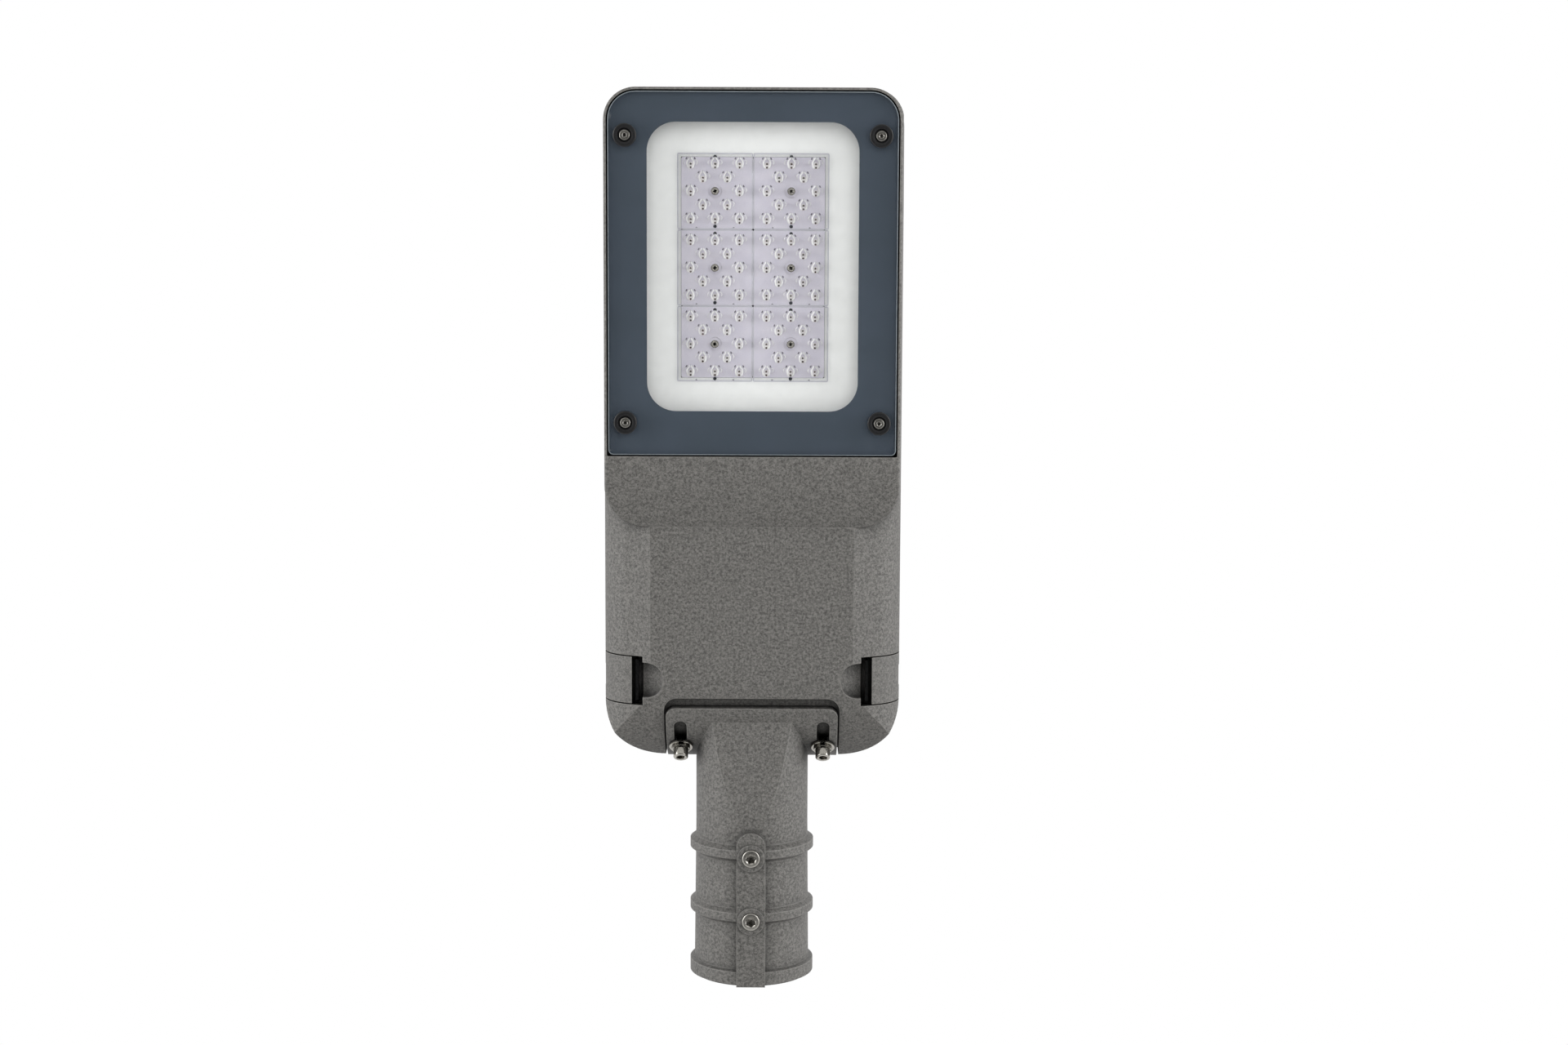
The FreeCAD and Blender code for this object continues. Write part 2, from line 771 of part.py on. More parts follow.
def top_cover():
    """Hinged cover with ribs inside, hinge knuckles and a recess for each keeper."""
    low = joint_z + cover_gap
    rear = shoulder_y - cover_gap
    edge = cover_front_round * (1 - math.cos(math.radians(45)))

    def shell(inset):
        side = prism("side", -far, far, [
            (cover_front_y + inset, low - overrun),
            (cover_front_y + inset, crown_z - cover_front_round),
            (cover_front_y + inset + edge, crown_z - inset - edge,
             cover_front_y + cover_front_round, crown_z - inset),
            (rear - inset, crown_z - inset),
            (rear - inset, low - overrun),
        ])
        plan = plan_block(half_width - inset, cover_front_y + inset, rear_y - inset, cover_corner - inset,
                          rear_radius - inset, low, far)
        return body_section(inset, cover_front_y, rear).common(plan).common(side)

    ledge_z = joint_z + seal_height + seal_gap
    cover = shell(0)
    for side in (-1, 1):
        recess = box(pocket_inner_x, far, latch_front_y - latch_gap, latch_rear_y + latch_gap,
                     low - overrun, keeper_pocket_top)
        cover = cover.cut(mirrored(recess, side))
    inner = shell(cover_wall)
    for side in (-1, 1):
        keep = box(pocket_inner_x - cover_wall, half_width, latch_front_y - latch_gap - cover_wall,
                   latch_rear_y + latch_gap + cover_wall, low - overrun, keeper_pocket_top + cover_wall)
        inner = inner.cut(mirrored(keep, side))
    narrow = rim_area(bay_lip, ledge_z - overrun, ledge_z + cover_ledge_depth + overrun)
    band = box(-far, far, tip_y, rear_y, ledge_z, ledge_z + cover_ledge_depth)
    cover = cover.cut(inner.cut(band.cut(narrow)))
    ribs = []
    for index in range(rib_count):
        y = (cover_front_y + rear) / 2 + (index - (rib_count - 1) / 2) * rib_pitch
        hang = box(-half_width, half_width, y - rib_thickness / 2, y + rib_thickness / 2,
                   crown_z - cover_wall - rib_depth, crown_z)
        ribs.append(hang.common(shell(cover_wall - overrun)).common(
            box(-rib_half, rib_half, tip_y, rear_y, low, far)))
    knuckles = []
    for x in (-hinge_x, hinge_x):
        arm = box(x - hinge_knuckle_length / 2, x + hinge_knuckle_length / 2, hinge_y,
                  cover_front_y + cover_wall / 2, hinge_z - hinge_arm_drop, hinge_z + hinge_arm_rise)
        knuckles.append(hinge_barrel(x, hinge_knuckle_length, hinge_knuckle_radius).fuse(arm))
    cover = cover.fuse(ribs + knuckles)
    for x in (-hinge_x, hinge_x):
        cover = cover.cut(hinge_barrel(x, hinge_knuckle_length + 2 * overrun, hinge_pin_radius + hinge_fit))
    reach = cover_wall + overrun
    for x, y in keeper_points():
        cover = cover.cut(box(x - reach, x + reach, y - keeper_half, y + keeper_half, keeper_low_z(),
                              keeper_low_z() + keeper_thickness))
    return cover.removeSplitter()


def keeper_low_z():
    return bail_top_z - bail_bar - keeper_drop - keeper_thickness


def keeper_points():
    middle = (latch_front_y + latch_rear_y) / 2
    return [(-pocket_inner_x, middle), (pocket_inner_x, middle)]


def keepers():
    """Steel tongues in the cover that the bails hook over."""
    made = []
    for side in (-1, 1):
        middle = (latch_front_y + latch_rear_y) / 2
        tongue = box(pocket_inner_x - cover_wall, pocket_inner_x + keeper_arm, middle - keeper_half,
                     middle + keeper_half, keeper_low_z(), keeper_low_z() + keeper_thickness)
        half = keeper_half + keeper_plate_side
        plate = box(pocket_inner_x - cover_wall - keeper_plate_thickness, pocket_inner_x - cover_wall,
                    middle - half, middle + half, keeper_low_z() - keeper_plate_low,
                    keeper_low_z() + keeper_thickness + keeper_plate_high)
        made.append(mirrored(tongue.fuse(plate), side))
    return made


def cover_seal():
    """Rubber ring on the compartment's rim."""
    outer = rim_area(bay_lip - seal_width, joint_z, joint_z + seal_height)
    return outer.cut(rim_area(bay_lip, joint_z - overrun, joint_z + seal_height + overrun))


def hinge_pins():
    length = hinge_knuckle_length + 2 * hinge_side_gap + 2 * hinge_ear_length
    return [hinge_barrel(x, length, hinge_pin_radius) for x in (-hinge_x, hinge_x)]


def clip_points():
    return [(x, y) for y in (clip_front_y, clip_rear_y) for x in (-clip_x, clip_x)]


def module_points():
    places = []
    for row in range(module_rows):
        for column in range(module_columns):
            x = (column - (module_columns - 1) / 2) * module_pitch
            y = module_centre_y + (row - (module_rows - 1) / 2) * module_pitch
            places.append((x, y))
    return places


def lens_points(x, y):
    """Twelve lenses of a module: rows of three, two, two, two and three round the screw."""
    places = []
    for row in range(-2, 3):
        spread = (-1, 0, 1) if abs(row) == 2 else (-1, 1)
        for column in spread:
            places.append((x + column * lens_column_pitch, y + row * lens_row_pitch))
    return places


def glass_cover():
    """Toughened glass with a hole for each clip."""
    pane = plan_block(glass_half, glass_front_y, glass_rear_y, glass_radius - glass_gap, glass_rear_radius,
                      glass_z, glass_z + glass_thickness)
    return pane.cut([rod(glass_hole_radius, x, y, glass_z - overrun, up, glass_thickness + 2 * overrun)
                     for x, y in clip_points()])


def glass_gasket():
    """Flat ring between the glass and its seat."""
    low = glass_z + glass_thickness
    margin = gasket_margin
    outer = plan_block(glass_half - margin, glass_front_y + margin, glass_rear_y - margin,
                       glass_radius - glass_gap - margin, glass_rear_radius - margin, low, seat_z)
    inner = plan_block(chamber_half + margin, chamber_front_y - margin, chamber_rear_y + margin,
                       chamber_radius, chamber_radius, low - overrun, seat_z + overrun)
    ring = outer.cut(inner)
    return ring.cut([rod(glass_hole_radius, x, y, low - overrun, up, gasket_thickness + 2 * overrun)
                     for x, y in clip_points()])


def glass_clips():
    """Round caps that hold the glass, with a sunk seat for the screw head."""
    made = []
    for x, y in clip_points():
        low = glass_z - clip_height
        cap = Part.makeCone(clip_radius - clip_edge, clip_radius, clip_edge, Vector(x, y, low))
        cap = cap.fuse(rod(clip_radius, x, y, low + clip_edge, up, clip_height - clip_edge))
        cap = cap.cut(rod(clip_recess_radius, x, y, low - overrun, up, clip_recess_depth + overrun))
        made.append(cap.cut(rod(glass_screw_radius + screw_play, x, y, low, up, clip_height + overrun)))
    return made


def hex_prism(size, x, y, z, direction, depth):
    """Hexagon socket, its size across flats."""
    corner = size / math.sqrt(3)
    across = along_x
    other = direction.cross(across)
    centre = Vector(x, y, z)
    points = []
    for index in range(7):
        turn = math.radians(60 * index)
        points.append(centre + across * (corner * math.cos(turn)) + other * (corner * math.sin(turn)))
    return Part.Face(Part.makePolygon(points)).extrude(direction * depth)


def glass_screws():
    """Socket screws through the caps and the glass."""
    seat = glass_z - clip_height + clip_recess_depth
    made = []
    for x, y in clip_points():
        head = rod(glass_screw_head_radius, x, y, seat - glass_screw_head_height, up,
                   glass_screw_head_height)
        shank = rod(glass_screw_radius, x, y, seat, up, glass_screw_length)
        socket = hex_prism(glass_screw_key, x, y, seat - glass_screw_head_height - overrun, up,
                           glass_screw_key_depth + overrun)
        made.append(head.fuse(shank).cut(socket))
    return made


def reflector_plate():
    """White sheet on the chamber ceiling with a window for the lens modules."""
    low = led_plate_z - reflector_thickness
    plate = plan_block(chamber_half - reflector_gap, chamber_front_y + reflector_gap,
                       chamber_rear_y - reflector_gap, chamber_radius - reflector_gap,
                       chamber_radius - reflector_gap, low, led_plate_z)
    half_x = board_half_x + board_gap / 2
    half_y = board_half_y + board_gap / 2
    window = box(-half_x, half_x, module_centre_y - half_y, module_centre_y + half_y,
                 low - overrun, led_plate_z + overrun)
    notch = box(-lead_well_half, lead_well_half, lead_well_front_y, chamber_rear_y + overrun,
                low - overrun, led_plate_z + overrun)
    return plate.cut([window, notch])


def board_area(grow, low):
    """The rectangle that the six boards fill between them."""
    return box(-board_half_x - grow, board_half_x + grow, module_centre_y - board_half_y - grow,
               module_centre_y + board_half_y + grow, low, led_plate_z)


def led_board(x, y):
    """Board of one module, cut to the area that all of them share."""
    half = (module_pitch - board_gap) / 2
    board = box(x - half, x + half, y - half, y + half, lens_floor_z, led_plate_z)
    board = board.common(board_area(0, lens_floor_z))
    return board.cut(rod(lens_screw_radius + lens_play, x, y, lens_floor_z - overrun, up,
                         board_thickness + 2 * overrun))


def leds():
    made = []
    half = led_size / 2
    for x, y in module_points():
        for lx, ly in lens_points(x, y):
            made.append(box(lx - half, lx + half, ly - half, ly + half, lens_floor_z - led_height,
                            lens_floor_z))
    return made


def lens_bump(x, y, z):
    """One lens: an eight-sided bump that narrows to its top."""
    def ring(half_x, half_y, cut, level):
        corners = [(half_x, half_y - cut), (half_x - cut, half_y), (-half_x + cut, half_y),
                   (-half_x, half_y - cut), (-half_x, -half_y + cut), (-half_x + cut, -half_y),
                   (half_x - cut, -half_y), (half_x, -half_y + cut)]
        return [Vector(x + a, y + b, level) for a, b in corners]

    base = ring(lens_half_x, lens_half_y, lens_cut, z)
    top = ring(lens_top_x, lens_top_y, lens_top_cut, z - lens_height)
    faces = [Part.Face(Part.makePolygon(base + base[:1])), Part.Face(Part.makePolygon(top + top[:1]))]
    for index in range(8):
        after = (index + 1) % 8
        corners = [base[index], base[after], top[after], top[index], base[index]]
        faces.append(Part.Face(Part.makePolygon(corners)))
    return Part.Solid(Part.Shell(faces))


def lens_module(x, y):
    """Moulded sheet with twelve lenses, a skirt round the board and a screw seat."""
    half = module_size / 2
    low = lens_low_z
    top = led_plate_z - reflector_thickness - stack_gap
    sheet = box(x - half, x + half, y - half, y + half, low, top)
    inner = half - module_skirt
    sheet = sheet.cut(box(x - inner, x + inner, y - inner, y + inner, low + lens_plate_thickness,
                          led_plate_z))
    sheet = sheet.cut(board_area(board_gap, lens_floor_z - stack_gap))
    seat = rod(seat_ring_radius, x, y, low - seat_ring_height, up,
               lens_floor_z - stack_gap - low + seat_ring_height)
    sheet = sheet.fuse([seat] + [lens_bump(lx, ly, low + lens_root) for lx, ly in lens_points(x, y)])
    start = low - seat_ring_height - overrun
    return sheet.cut(rod(lens_screw_radius + lens_play, x, y, start, up, led_plate_z - start))


def lens_screws():
    low = lens_low_z - seat_ring_height
    made = []
    for x, y in module_points():
        head = rod(lens_screw_head_radius, x, y, low - lens_screw_head_height, up, lens_screw_head_height)
        made.append(head.fuse(rod(lens_screw_radius, x, y, low, up, lens_screw_length)))
    return made


def driver():
    """Driver case with a screw tab at each end."""
    case = box(-driver_half, driver_half, driver_front_y, driver_rear_y, bay_floor_z,
               bay_floor_z + driver_height)
    upright = [e for e in case.Edges if e.BoundBox.ZLength > driver_height / 2]
    case = case.makeChamfer(driver_edge, upright)
    middle = (driver_front_y + driver_rear_y) / 2
    tabs = box(-driver_half - driver_tab, driver_half + driver_tab, middle - driver_tab_half,
               middle + driver_tab_half, bay_floor_z, bay_floor_z + driver_tab_thickness)
    case = case.fuse(tabs)
    for x in (-1, 1):
        case = case.cut(rod(driver_screw_radius + screw_play, x * (driver_half + driver_tab / 2), middle,
                            bay_floor_z - overrun, up, driver_tab_thickness + 2 * overrun))
    return case.removeSplitter()


def pan_screw(x, y, seat, length):
    head = rod(driver_screw_head_radius, x, y, seat, up, driver_screw_head_height)
    shank = rod(driver_screw_radius, x, y, seat - length, up, length)
    return head.fuse(shank)


def driver_screws():
    middle = (driver_front_y + driver_rear_y) / 2
    seat = bay_floor_z + driver_tab_thickness
    length = driver_tab_thickness + driver_screw_bite
    return [pan_screw(x * (driver_half + driver_tab / 2), middle, seat, length) for x in (-1, 1)]


def surge_protector():
    case = box(surge_x - surge_length / 2, surge_x + surge_length / 2, surge_y - surge_width / 2,
               surge_y + surge_width / 2, bay_floor_z, bay_floor_z + surge_height)
    top = [e for e in case.Edges if e.BoundBox.ZMin > bay_floor_z + surge_height / 2]
    return case.makeChamfer(surge_edge, top)


def terminal_block():
    """Screw terminals, one pair of wire openings for each way."""
    block = box(terminal_x - terminal_length / 2, terminal_x + terminal_length / 2,
                terminal_y - terminal_width / 2, terminal_y + terminal_width / 2,
                bay_floor_z, bay_floor_z + terminal_height)
    step = terminal_length / terminal_ways
    half = terminal_width / 2
    top = bay_floor_z + terminal_height
    cuts = []
    for index in range(terminal_ways):
        x = terminal_x - terminal_length / 2 + (index + 0.5) * step
        for start, end in ((-half - overrun, terminal_mouth_depth - half),
                           (half - terminal_mouth_depth, half + overrun)):
            cuts.append(box(x - terminal_mouth_half, x + terminal_mouth_half, terminal_y + start,
                            terminal_y + end, bay_floor_z + terminal_mouth_low,
                            bay_floor_z + terminal_mouth_high))
        well = terminal_well_half
        cuts.append(box(x - well, x + well, terminal_y - well, terminal_y + well,
                        top - terminal_well_depth, top + overrun))
    return block.cut(cuts)


def cable_clamp():
    """Bar over two posts that grips the mains cable."""
    seat = bay_floor_z + clamp_post_height
    bar = box(-clamp_length / 2, clamp_length / 2, clamp_y - clamp_width / 2, clamp_y + clamp_width / 2,
              seat, seat + clamp_thickness)
    arch = rod(clamp_arch_radius, 0, clamp_y - clamp_width, seat - clamp_arch_drop, along_y, 2 * clamp_width)
    bar = bar.cut(arch)
    return bar.cut([rod(driver_screw_radius + screw_play, x, clamp_y, seat - overrun, up,
                        clamp_thickness + 2 * overrun) for x in (-clamp_post_x, clamp_post_x)])


def clamp_screws():
    seat = bay_floor_z + clamp_post_height + clamp_thickness
    length = clamp_thickness + clamp_screw_bite
    return [pan_screw(x, clamp_y, seat, length) for x in (-clamp_post_x, clamp_post_x)]


def earth_screw():
    return pan_screw(earth_x, earth_y, bay_floor_z + earth_post_height, earth_screw_length)


def cable_grommet():
    """Rubber ring in the arc seat, where the mains cable comes in from the spigot."""
    inner_face = seat_radius - seat_wall
    ring = radial_hole(grommet_radius - thread_gap, 0, cable_angle, inner_face - grommet_inside,
                       seat_radius - grommet_set)
    collar = radial_hole(grommet_radius + grommet_lip, 0, cable_angle, inner_face - grommet_inside,
                         inner_face - grommet_inside + grommet_collar)
    collar = collar.common(arc_cylinder(inner_face - thread_gap, half_width))
    grommet = ring.fuse(collar)
    return grommet.cut(radial_hole(grommet_bore, 0, cable_angle, inner_face - grommet_inside - overrun,
                                   seat_radius + overrun))


def lead_gland():
    """Gland in the compartment's front wall for the lead to the lenses."""
    neck = rod(gland_neck_radius - thread_gap, 0, bay_front_y - gland_neck_length, lead_z, along_y,
               gland_neck_length + overrun)
    nut = hex_prism(2 * gland_radius * math.cos(math.radians(30)), 0, bay_front_y, lead_z, along_y,
                    gland_length)
    bore = rod(lead_radius + thread_gap, 0, bay_front_y - gland_neck_length - overrun, lead_z, along_y,
               gland_neck_length + gland_length + 2 * overrun)
    return neck.fuse(nut).cut(bore)


def led_lead():
    """Lead from the driver to the boards, straight through the gland."""
    return rod(lead_radius, 0, lead_start_y, lead_z, along_y, driver_front_y - lead_start_y)


def set_bolt(x, angle):
    """Socket head bolt, its head outside the washers on the bracket."""
    seat = flange_outer + arc_gap + washer_thickness + spring_thickness
    head = radial_hole(bolt_head_radius, x, angle, seat, seat + bolt_head_height)
    shank = radial_hole(bolt_radius, x, angle, seat - bolt_length, seat + overrun)
    top = arc_centre + radial(angle) * (seat + bolt_head_height - bolt_key_depth)
    socket = hex_prism(bolt_key, x, top.y, top.z, radial(angle), bolt_key_depth + overrun)
    return head.fuse(shank).cut(socket)


def ring_on_bolt(x, outer, inner, start, thickness):
    ring = radial_hole(outer, x, bolt_angle, start, start + thickness)
    return ring.cut(radial_hole(inner, x, bolt_angle, start - overrun, start + thickness + overrun))


def tilt_washers():
    start = flange_outer + arc_gap
    return [ring_on_bolt(x, washer_radius, bolt_radius + screw_play, start, washer_thickness)
            for x in (-bolt_x, bolt_x)]


def tilt_spring_washers():
    start = flange_outer + arc_gap + washer_thickness
    made = []
    for x in (-bolt_x, bolt_x):
        ring = ring_on_bolt(x, spring_radius, bolt_radius + screw_play, start, spring_thickness)
        middle = arc_centre + radial(bolt_angle) * start
        half = spring_split / 2
        split = box(x, x + washer_radius, middle.y - half, middle.y + half, middle.z - washer_radius,
                    middle.z + washer_radius)
        split.rotate(Vector(x, middle.y, middle.z), along_x, bolt_angle)
        made.append(ring.cut(split))
    return made


def flange():
    """Curved plate that slides on the arc seat, with a slot for each bolt."""
    start_in = polar(flange_inner, flange_start)
    start_out = polar(flange_outer, flange_start)
    end_in = polar(flange_inner, flange_end)
    end_out = polar(flange_outer, flange_end)
    middle = (flange_start + flange_end) / 2
    plate = prism("side", -flange_half, flange_half, [
        start_in,
        polar(flange_inner, middle) + end_in,
        end_out,
        polar(flange_outer, middle) + start_out,
    ])
    corners = [e for e in plate.Edges
               if e.BoundBox.XLength < 0.01 and e.Length < flange_thickness + overrun]
    plate = plate.makeFillet(flange_corner, corners)
    cuts = []
    ends = math.degrees(slot_half / flange_outer)
    for x in (-bolt_x, bolt_x):
        first, last = slot_start + ends, slot_end - ends
        near, clear = flange_inner - flange_thickness, flange_outer + flange_thickness
        cuts.append(radial_hole(slot_half, x, first, near, clear))
        cuts.append(radial_hole(slot_half, x, last, near, clear))
        low_in, low_out = polar(near, first), polar(clear, first)
        high_in, high_out = polar(near, last), polar(clear, last)
        half = (first + last) / 2
        cuts.append(prism("side", x - slot_half, x + slot_half, [
            low_in,
            polar(near, half) + high_in,
            high_out,
            polar(clear, half) + low_out,
        ]))
    return plate.cut(cuts)


def bead(y, crest, base, radius):
    """Raised ring round the tube, set out as a flat-topped ridge."""
    foot = tube_radius - ring_root
    steps = [(foot, y - base / 2), (tube_radius, y - base / 2), (radius, y - crest / 2),
             (radius, y + crest / 2), (tube_radius, y + base / 2), (foot, y + base / 2)]
    points = [Vector(r, along, 0) for r, along in steps]
    return Part.Face(Part.makePolygon(points + points[:1])).revolve(Vector(0, 0, 0), along_y, 360)


def spigot_bracket():
    """Cast spigot tube that runs through its neck into the curved flange."""
    cone = Part.makeCone(tube_radius, mouth_radius, -tube_start_y, Vector(0, tube_start_y, 0), along_y)
    neck = rod(tube_radius, 0, arc_centre_y, 0, along_y, tube_start_y - arc_centre_y + overrun)
    low_slope = (neck_low_end_z + tube_radius) / (neck_low_end_y - neck_low_y)
    low_far = neck_low_end_z + low_slope * (arc_centre_y - neck_low_end_y)
    top_slope = (neck_top_end_z - tube_radius) / (neck_top_end_y - neck_top_y)
    top_far = neck_top_end_z + top_slope * (arc_centre_y - neck_top_end_y)
    neck = neck.common(prism("side", -far, far, [
        (arc_centre_y, low_far),
        (neck_low_y, -tube_radius),
        (0, -ring_radius),
        (0, ring_radius),
        (neck_top_y, tube_radius),
        (arc_centre_y, top_far),
    ]))
    bracket = cone.fuse([neck, flange()])
    bracket = bracket.cut(arc_cylinder(flange_inner, half_width))
    forward = box(-far, far, -far, arc_centre_y + bracket_start, -far, far)
    bracket = bracket.cut(forward)
    rings = [bead(y, ring_crest, ring_base, ring_radius) for y in ring_places]
    rings.append(bead(-ring_base / 2, end_ring_crest, ring_base, ring_radius))
    strip = prism("plan", strip_z, -bore_radius, [
        (strip_half, 0),
        (-strip_half, 0),
        (-strip_half, strip_start_y + strip_half),
        (0, strip_start_y, strip_half, strip_start_y + strip_half),
    ])
    depth = -bore_radius - boss_z
    bosses = [rod(boss_radius, 0, y, boss_z, up, depth) for y in pole_screw_places]
    bracket = bracket.fuse(rings + [strip] + bosses)
    bracket = bracket.cut(rod(bore_radius, 0, -bore_depth, 0, along_y, bore_depth + overrun))
    bracket = bracket.cut(rod(cable_way_radius, 0, arc_centre_y, 0, along_y, -arc_centre_y))
    holes = [rod(pole_screw_radius + thread_gap, 0, y, boss_z - overrun, up, depth + 5 * overrun)
             for y in pole_screw_places]
    return bracket.cut(holes).removeSplitter()


def pole_screws():
    """Socket set screws that grip the pole."""
    made = []
    for y in pole_screw_places:
        screw = rod(pole_screw_radius, 0, y, pole_screw_z, up, pole_screw_length)
        made.append(screw.cut(hex_prism(pole_screw_key, 0, y, pole_screw_z - overrun, up,
                                        pole_screw_key_depth + overrun)))
    return made


def latch_stubs():
    """Where the latch pins start, two for each latch: x, y and z."""
    places = []
    for x in (-latch_pin_x, latch_pin_x):
        places.append((x, latch_front_y - latch_gap, latch_pin_z))
        places.append((x, latch_rear_y + latch_gap - latch_hub_length, latch_pin_z))
    return places


def latch_pins():
    made = []
    for x in (-latch_pin_x, latch_pin_x):
        front = latch_front_y - latch_gap - latch_pin_seat
        made.append(rod(latch_pin_radius, x, front, latch_pin_z, along_y,
                        latch_hub_length + latch_gap + latch_pin_seat))
        back = latch_rear_y - latch_hub_length
        made.append(rod(latch_pin_radius, x, back, latch_pin_z, along_y,
                        latch_hub_length + latch_gap + latch_pin_seat))
    return made


def bail_span():
    middle = (latch_front_y + latch_rear_y) / 2
    return middle - bail_half, middle + bail_half


def latch(side):
    """Lever that follows the body's side and hooks under the belly, with hubs and bail ears."""
    skin = body_section(0, latch_front_y, latch_rear_y).cut(
        body_section(latch_wall, latch_front_y - overrun, latch_rear_y + overrun))
    skin = skin.common(box(latch_inner_x, far, latch_front_y, latch_rear_y, glass_z, latch_top_z))
    bail_front, bail_back = bail_span()
    opening = box(pocket_inner_x, far, bail_front - bail_gap, bail_back + bail_gap,
                  bail_z - bail_gap, latch_top_z + overrun)
    skin = skin.cut(opening)
    parts = []
    for start in (latch_front_y, latch_rear_y - latch_hub_length):
        parts.append(rod(latch_hub_radius, latch_pin_x, start, latch_pin_z, along_y, latch_hub_length))
    for start in (bail_front - bail_gap - bail_ear, bail_back + bail_gap):
        ear = rod(bail_knuckle_radius, bail_x, start, bail_z, along_y, bail_ear)
        web = box(bail_x, half_width - latch_web_gap, start, start + bail_ear, bail_z - bail_knuckle_radius,
                  bail_z + bail_knuckle_radius)
        parts.append(ear.fuse(web))
    lever = skin.fuse(parts)
    cuts = []
    for start in (latch_front_y, latch_rear_y - latch_hub_length):
        cuts.append(rod(latch_pin_radius + latch_pin_fit, latch_pin_x, start - overrun, latch_pin_z,
                        along_y, latch_hub_length + 2 * overrun))
    reach = bail_half + bail_gap + bail_ear + overrun
    start = (bail_front + bail_back) / 2 - reach
    cuts.append(rod(bail_pin_radius, bail_x, start, bail_z, along_y, 2 * reach))
    return mirrored(lever.cut(cuts).removeSplitter(), side)


def bail_pin(side):
    bail_front, bail_back = bail_span()
    start = bail_front - bail_gap - bail_ear
    pin = rod(bail_pin_radius, bail_x, start, bail_z, along_y, bail_back + bail_gap + bail_ear - start)
    return mirrored(pin, side)


def bail(side):
    """Steel loop on the lever that pulls the cover's keeper down."""
    bail_front, bail_back = bail_span()
    plate = box(bail_x - bail_thickness, bail_x, bail_front, bail_back, bail_z, bail_top_z)
    window = box(bail_x - 2 * bail_thickness, bail_x + bail_thickness, bail_front + bail_leg,
                 bail_back - bail_leg, bail_z + bail_window_set, bail_top_z - bail_bar)
    knuckle = rod(bail_knuckle_radius, bail_x, bail_front, bail_z, along_y, 2 * bail_half)
    loop = plate.cut(window).fuse(knuckle)
    loop = loop.cut(rod(bail_pin_radius + bail_pin_fit, bail_x, bail_front - overrun, bail_z, along_y,
                        2 * (bail_half + overrun)))
    return mirrored(loop.removeSplitter(), side)


def latch_clips():
    """Spring strips in the gap beside each latch that keep it shut."""
    strip = box(clip_strip_x - clip_strip_width / 2, clip_strip_x + clip_strip_width / 2,
                latch_front_y + clip_strip_end, latch_rear_y - clip_strip_end,
                pocket_roof_z - clip_strip_drop, pocket_roof_z)
    return [mirrored(strip, side) for side in (-1, 1)]


def save(name, shape):
    solids = shape if isinstance(shape, list) else [shape]
    solids = [piece for item in solids for piece in item.Solids]
    made = solids[0] if len(solids) == 1 else Part.makeCompound(solids)
    made.exportStep(os.path.join("parts", name + ".step"))
    bounds = made.BoundBox
    print(name, len(solids), "valid" if made.isValid() else "INVALID",
          "x %.1f %.1f y %.1f %.1f z %.1f %.1f" % (bounds.XMin, bounds.XMax, bounds.YMin, bounds.YMax,
                                                  bounds.ZMin, bounds.ZMax), "volume %.0f" % made.Volume)


save("housing", housing())
save("top_cover", top_cover())
save("keepers", keepers())
save("cover_seal", cover_seal())
save("hinge_pins", hinge_pins())
save("glass_cover", glass_cover())
save("glass_gasket", glass_gasket())
save("glass_clips", glass_clips())
save("glass_screws", glass_screws())
save("reflector_plate", reflector_plate())
save("leds", leds())
for number, (x, y) in enumerate(module_points(), start=1):
    save("led_board_%d" % number, led_board(x, y))
    save("lens_module_%d" % number, lens_module(x, y))
save("lens_screws", lens_screws())
save("driver", driver())
save("driver_screws", driver_screws())
save("surge_protector", surge_protector())
save("terminal_block", terminal_block())
save("cable_clamp", cable_clamp())
save("clamp_screws", clamp_screws())
save("earth_screw", earth_screw())
save("cable_grommet", cable_grommet())
save("lead_gland", lead_gland())
save("led_lead", led_lead())
save("tilt_bolts", [set_bolt(x, bolt_angle) for x in (-bolt_x, bolt_x)])
save("tilt_washers", tilt_washers())
save("tilt_spring_washers", tilt_spring_washers())
save("spigot_bracket", spigot_bracket())
save("pole_screws", pole_screws())
save("latch_pins", latch_pins())
save("latch_left", latch(-1))
save("latch_right", latch(1))
save("bail_pin_left", bail_pin(-1))
save("bail_pin_right", bail_pin(1))
save("bail_left", bail(-1))
save("bail_right", bail(1))
save("latch_clips", latch_clips())
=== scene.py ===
import bmesh
import bpy
import json
import math
from mathutils import Matrix, Vector
from mathutils.geometry import tessellate_polygon


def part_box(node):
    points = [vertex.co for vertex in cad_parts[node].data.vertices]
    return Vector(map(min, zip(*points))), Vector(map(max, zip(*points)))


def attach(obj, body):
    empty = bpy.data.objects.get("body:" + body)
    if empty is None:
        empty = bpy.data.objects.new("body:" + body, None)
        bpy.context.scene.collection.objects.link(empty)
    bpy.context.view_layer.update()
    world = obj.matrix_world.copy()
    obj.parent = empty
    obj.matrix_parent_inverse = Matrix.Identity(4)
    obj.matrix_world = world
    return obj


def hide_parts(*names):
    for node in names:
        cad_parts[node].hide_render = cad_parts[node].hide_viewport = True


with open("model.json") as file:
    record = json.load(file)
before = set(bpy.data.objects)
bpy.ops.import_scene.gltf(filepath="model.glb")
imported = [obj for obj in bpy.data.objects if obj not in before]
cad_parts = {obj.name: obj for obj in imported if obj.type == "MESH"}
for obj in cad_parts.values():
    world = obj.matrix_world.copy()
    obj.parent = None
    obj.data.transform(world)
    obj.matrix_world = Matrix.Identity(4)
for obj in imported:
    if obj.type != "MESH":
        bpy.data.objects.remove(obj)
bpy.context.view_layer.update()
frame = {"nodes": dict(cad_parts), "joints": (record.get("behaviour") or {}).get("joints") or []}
mm = 0.001
print("frame loaded,", len(frame["nodes"]), "nodes")


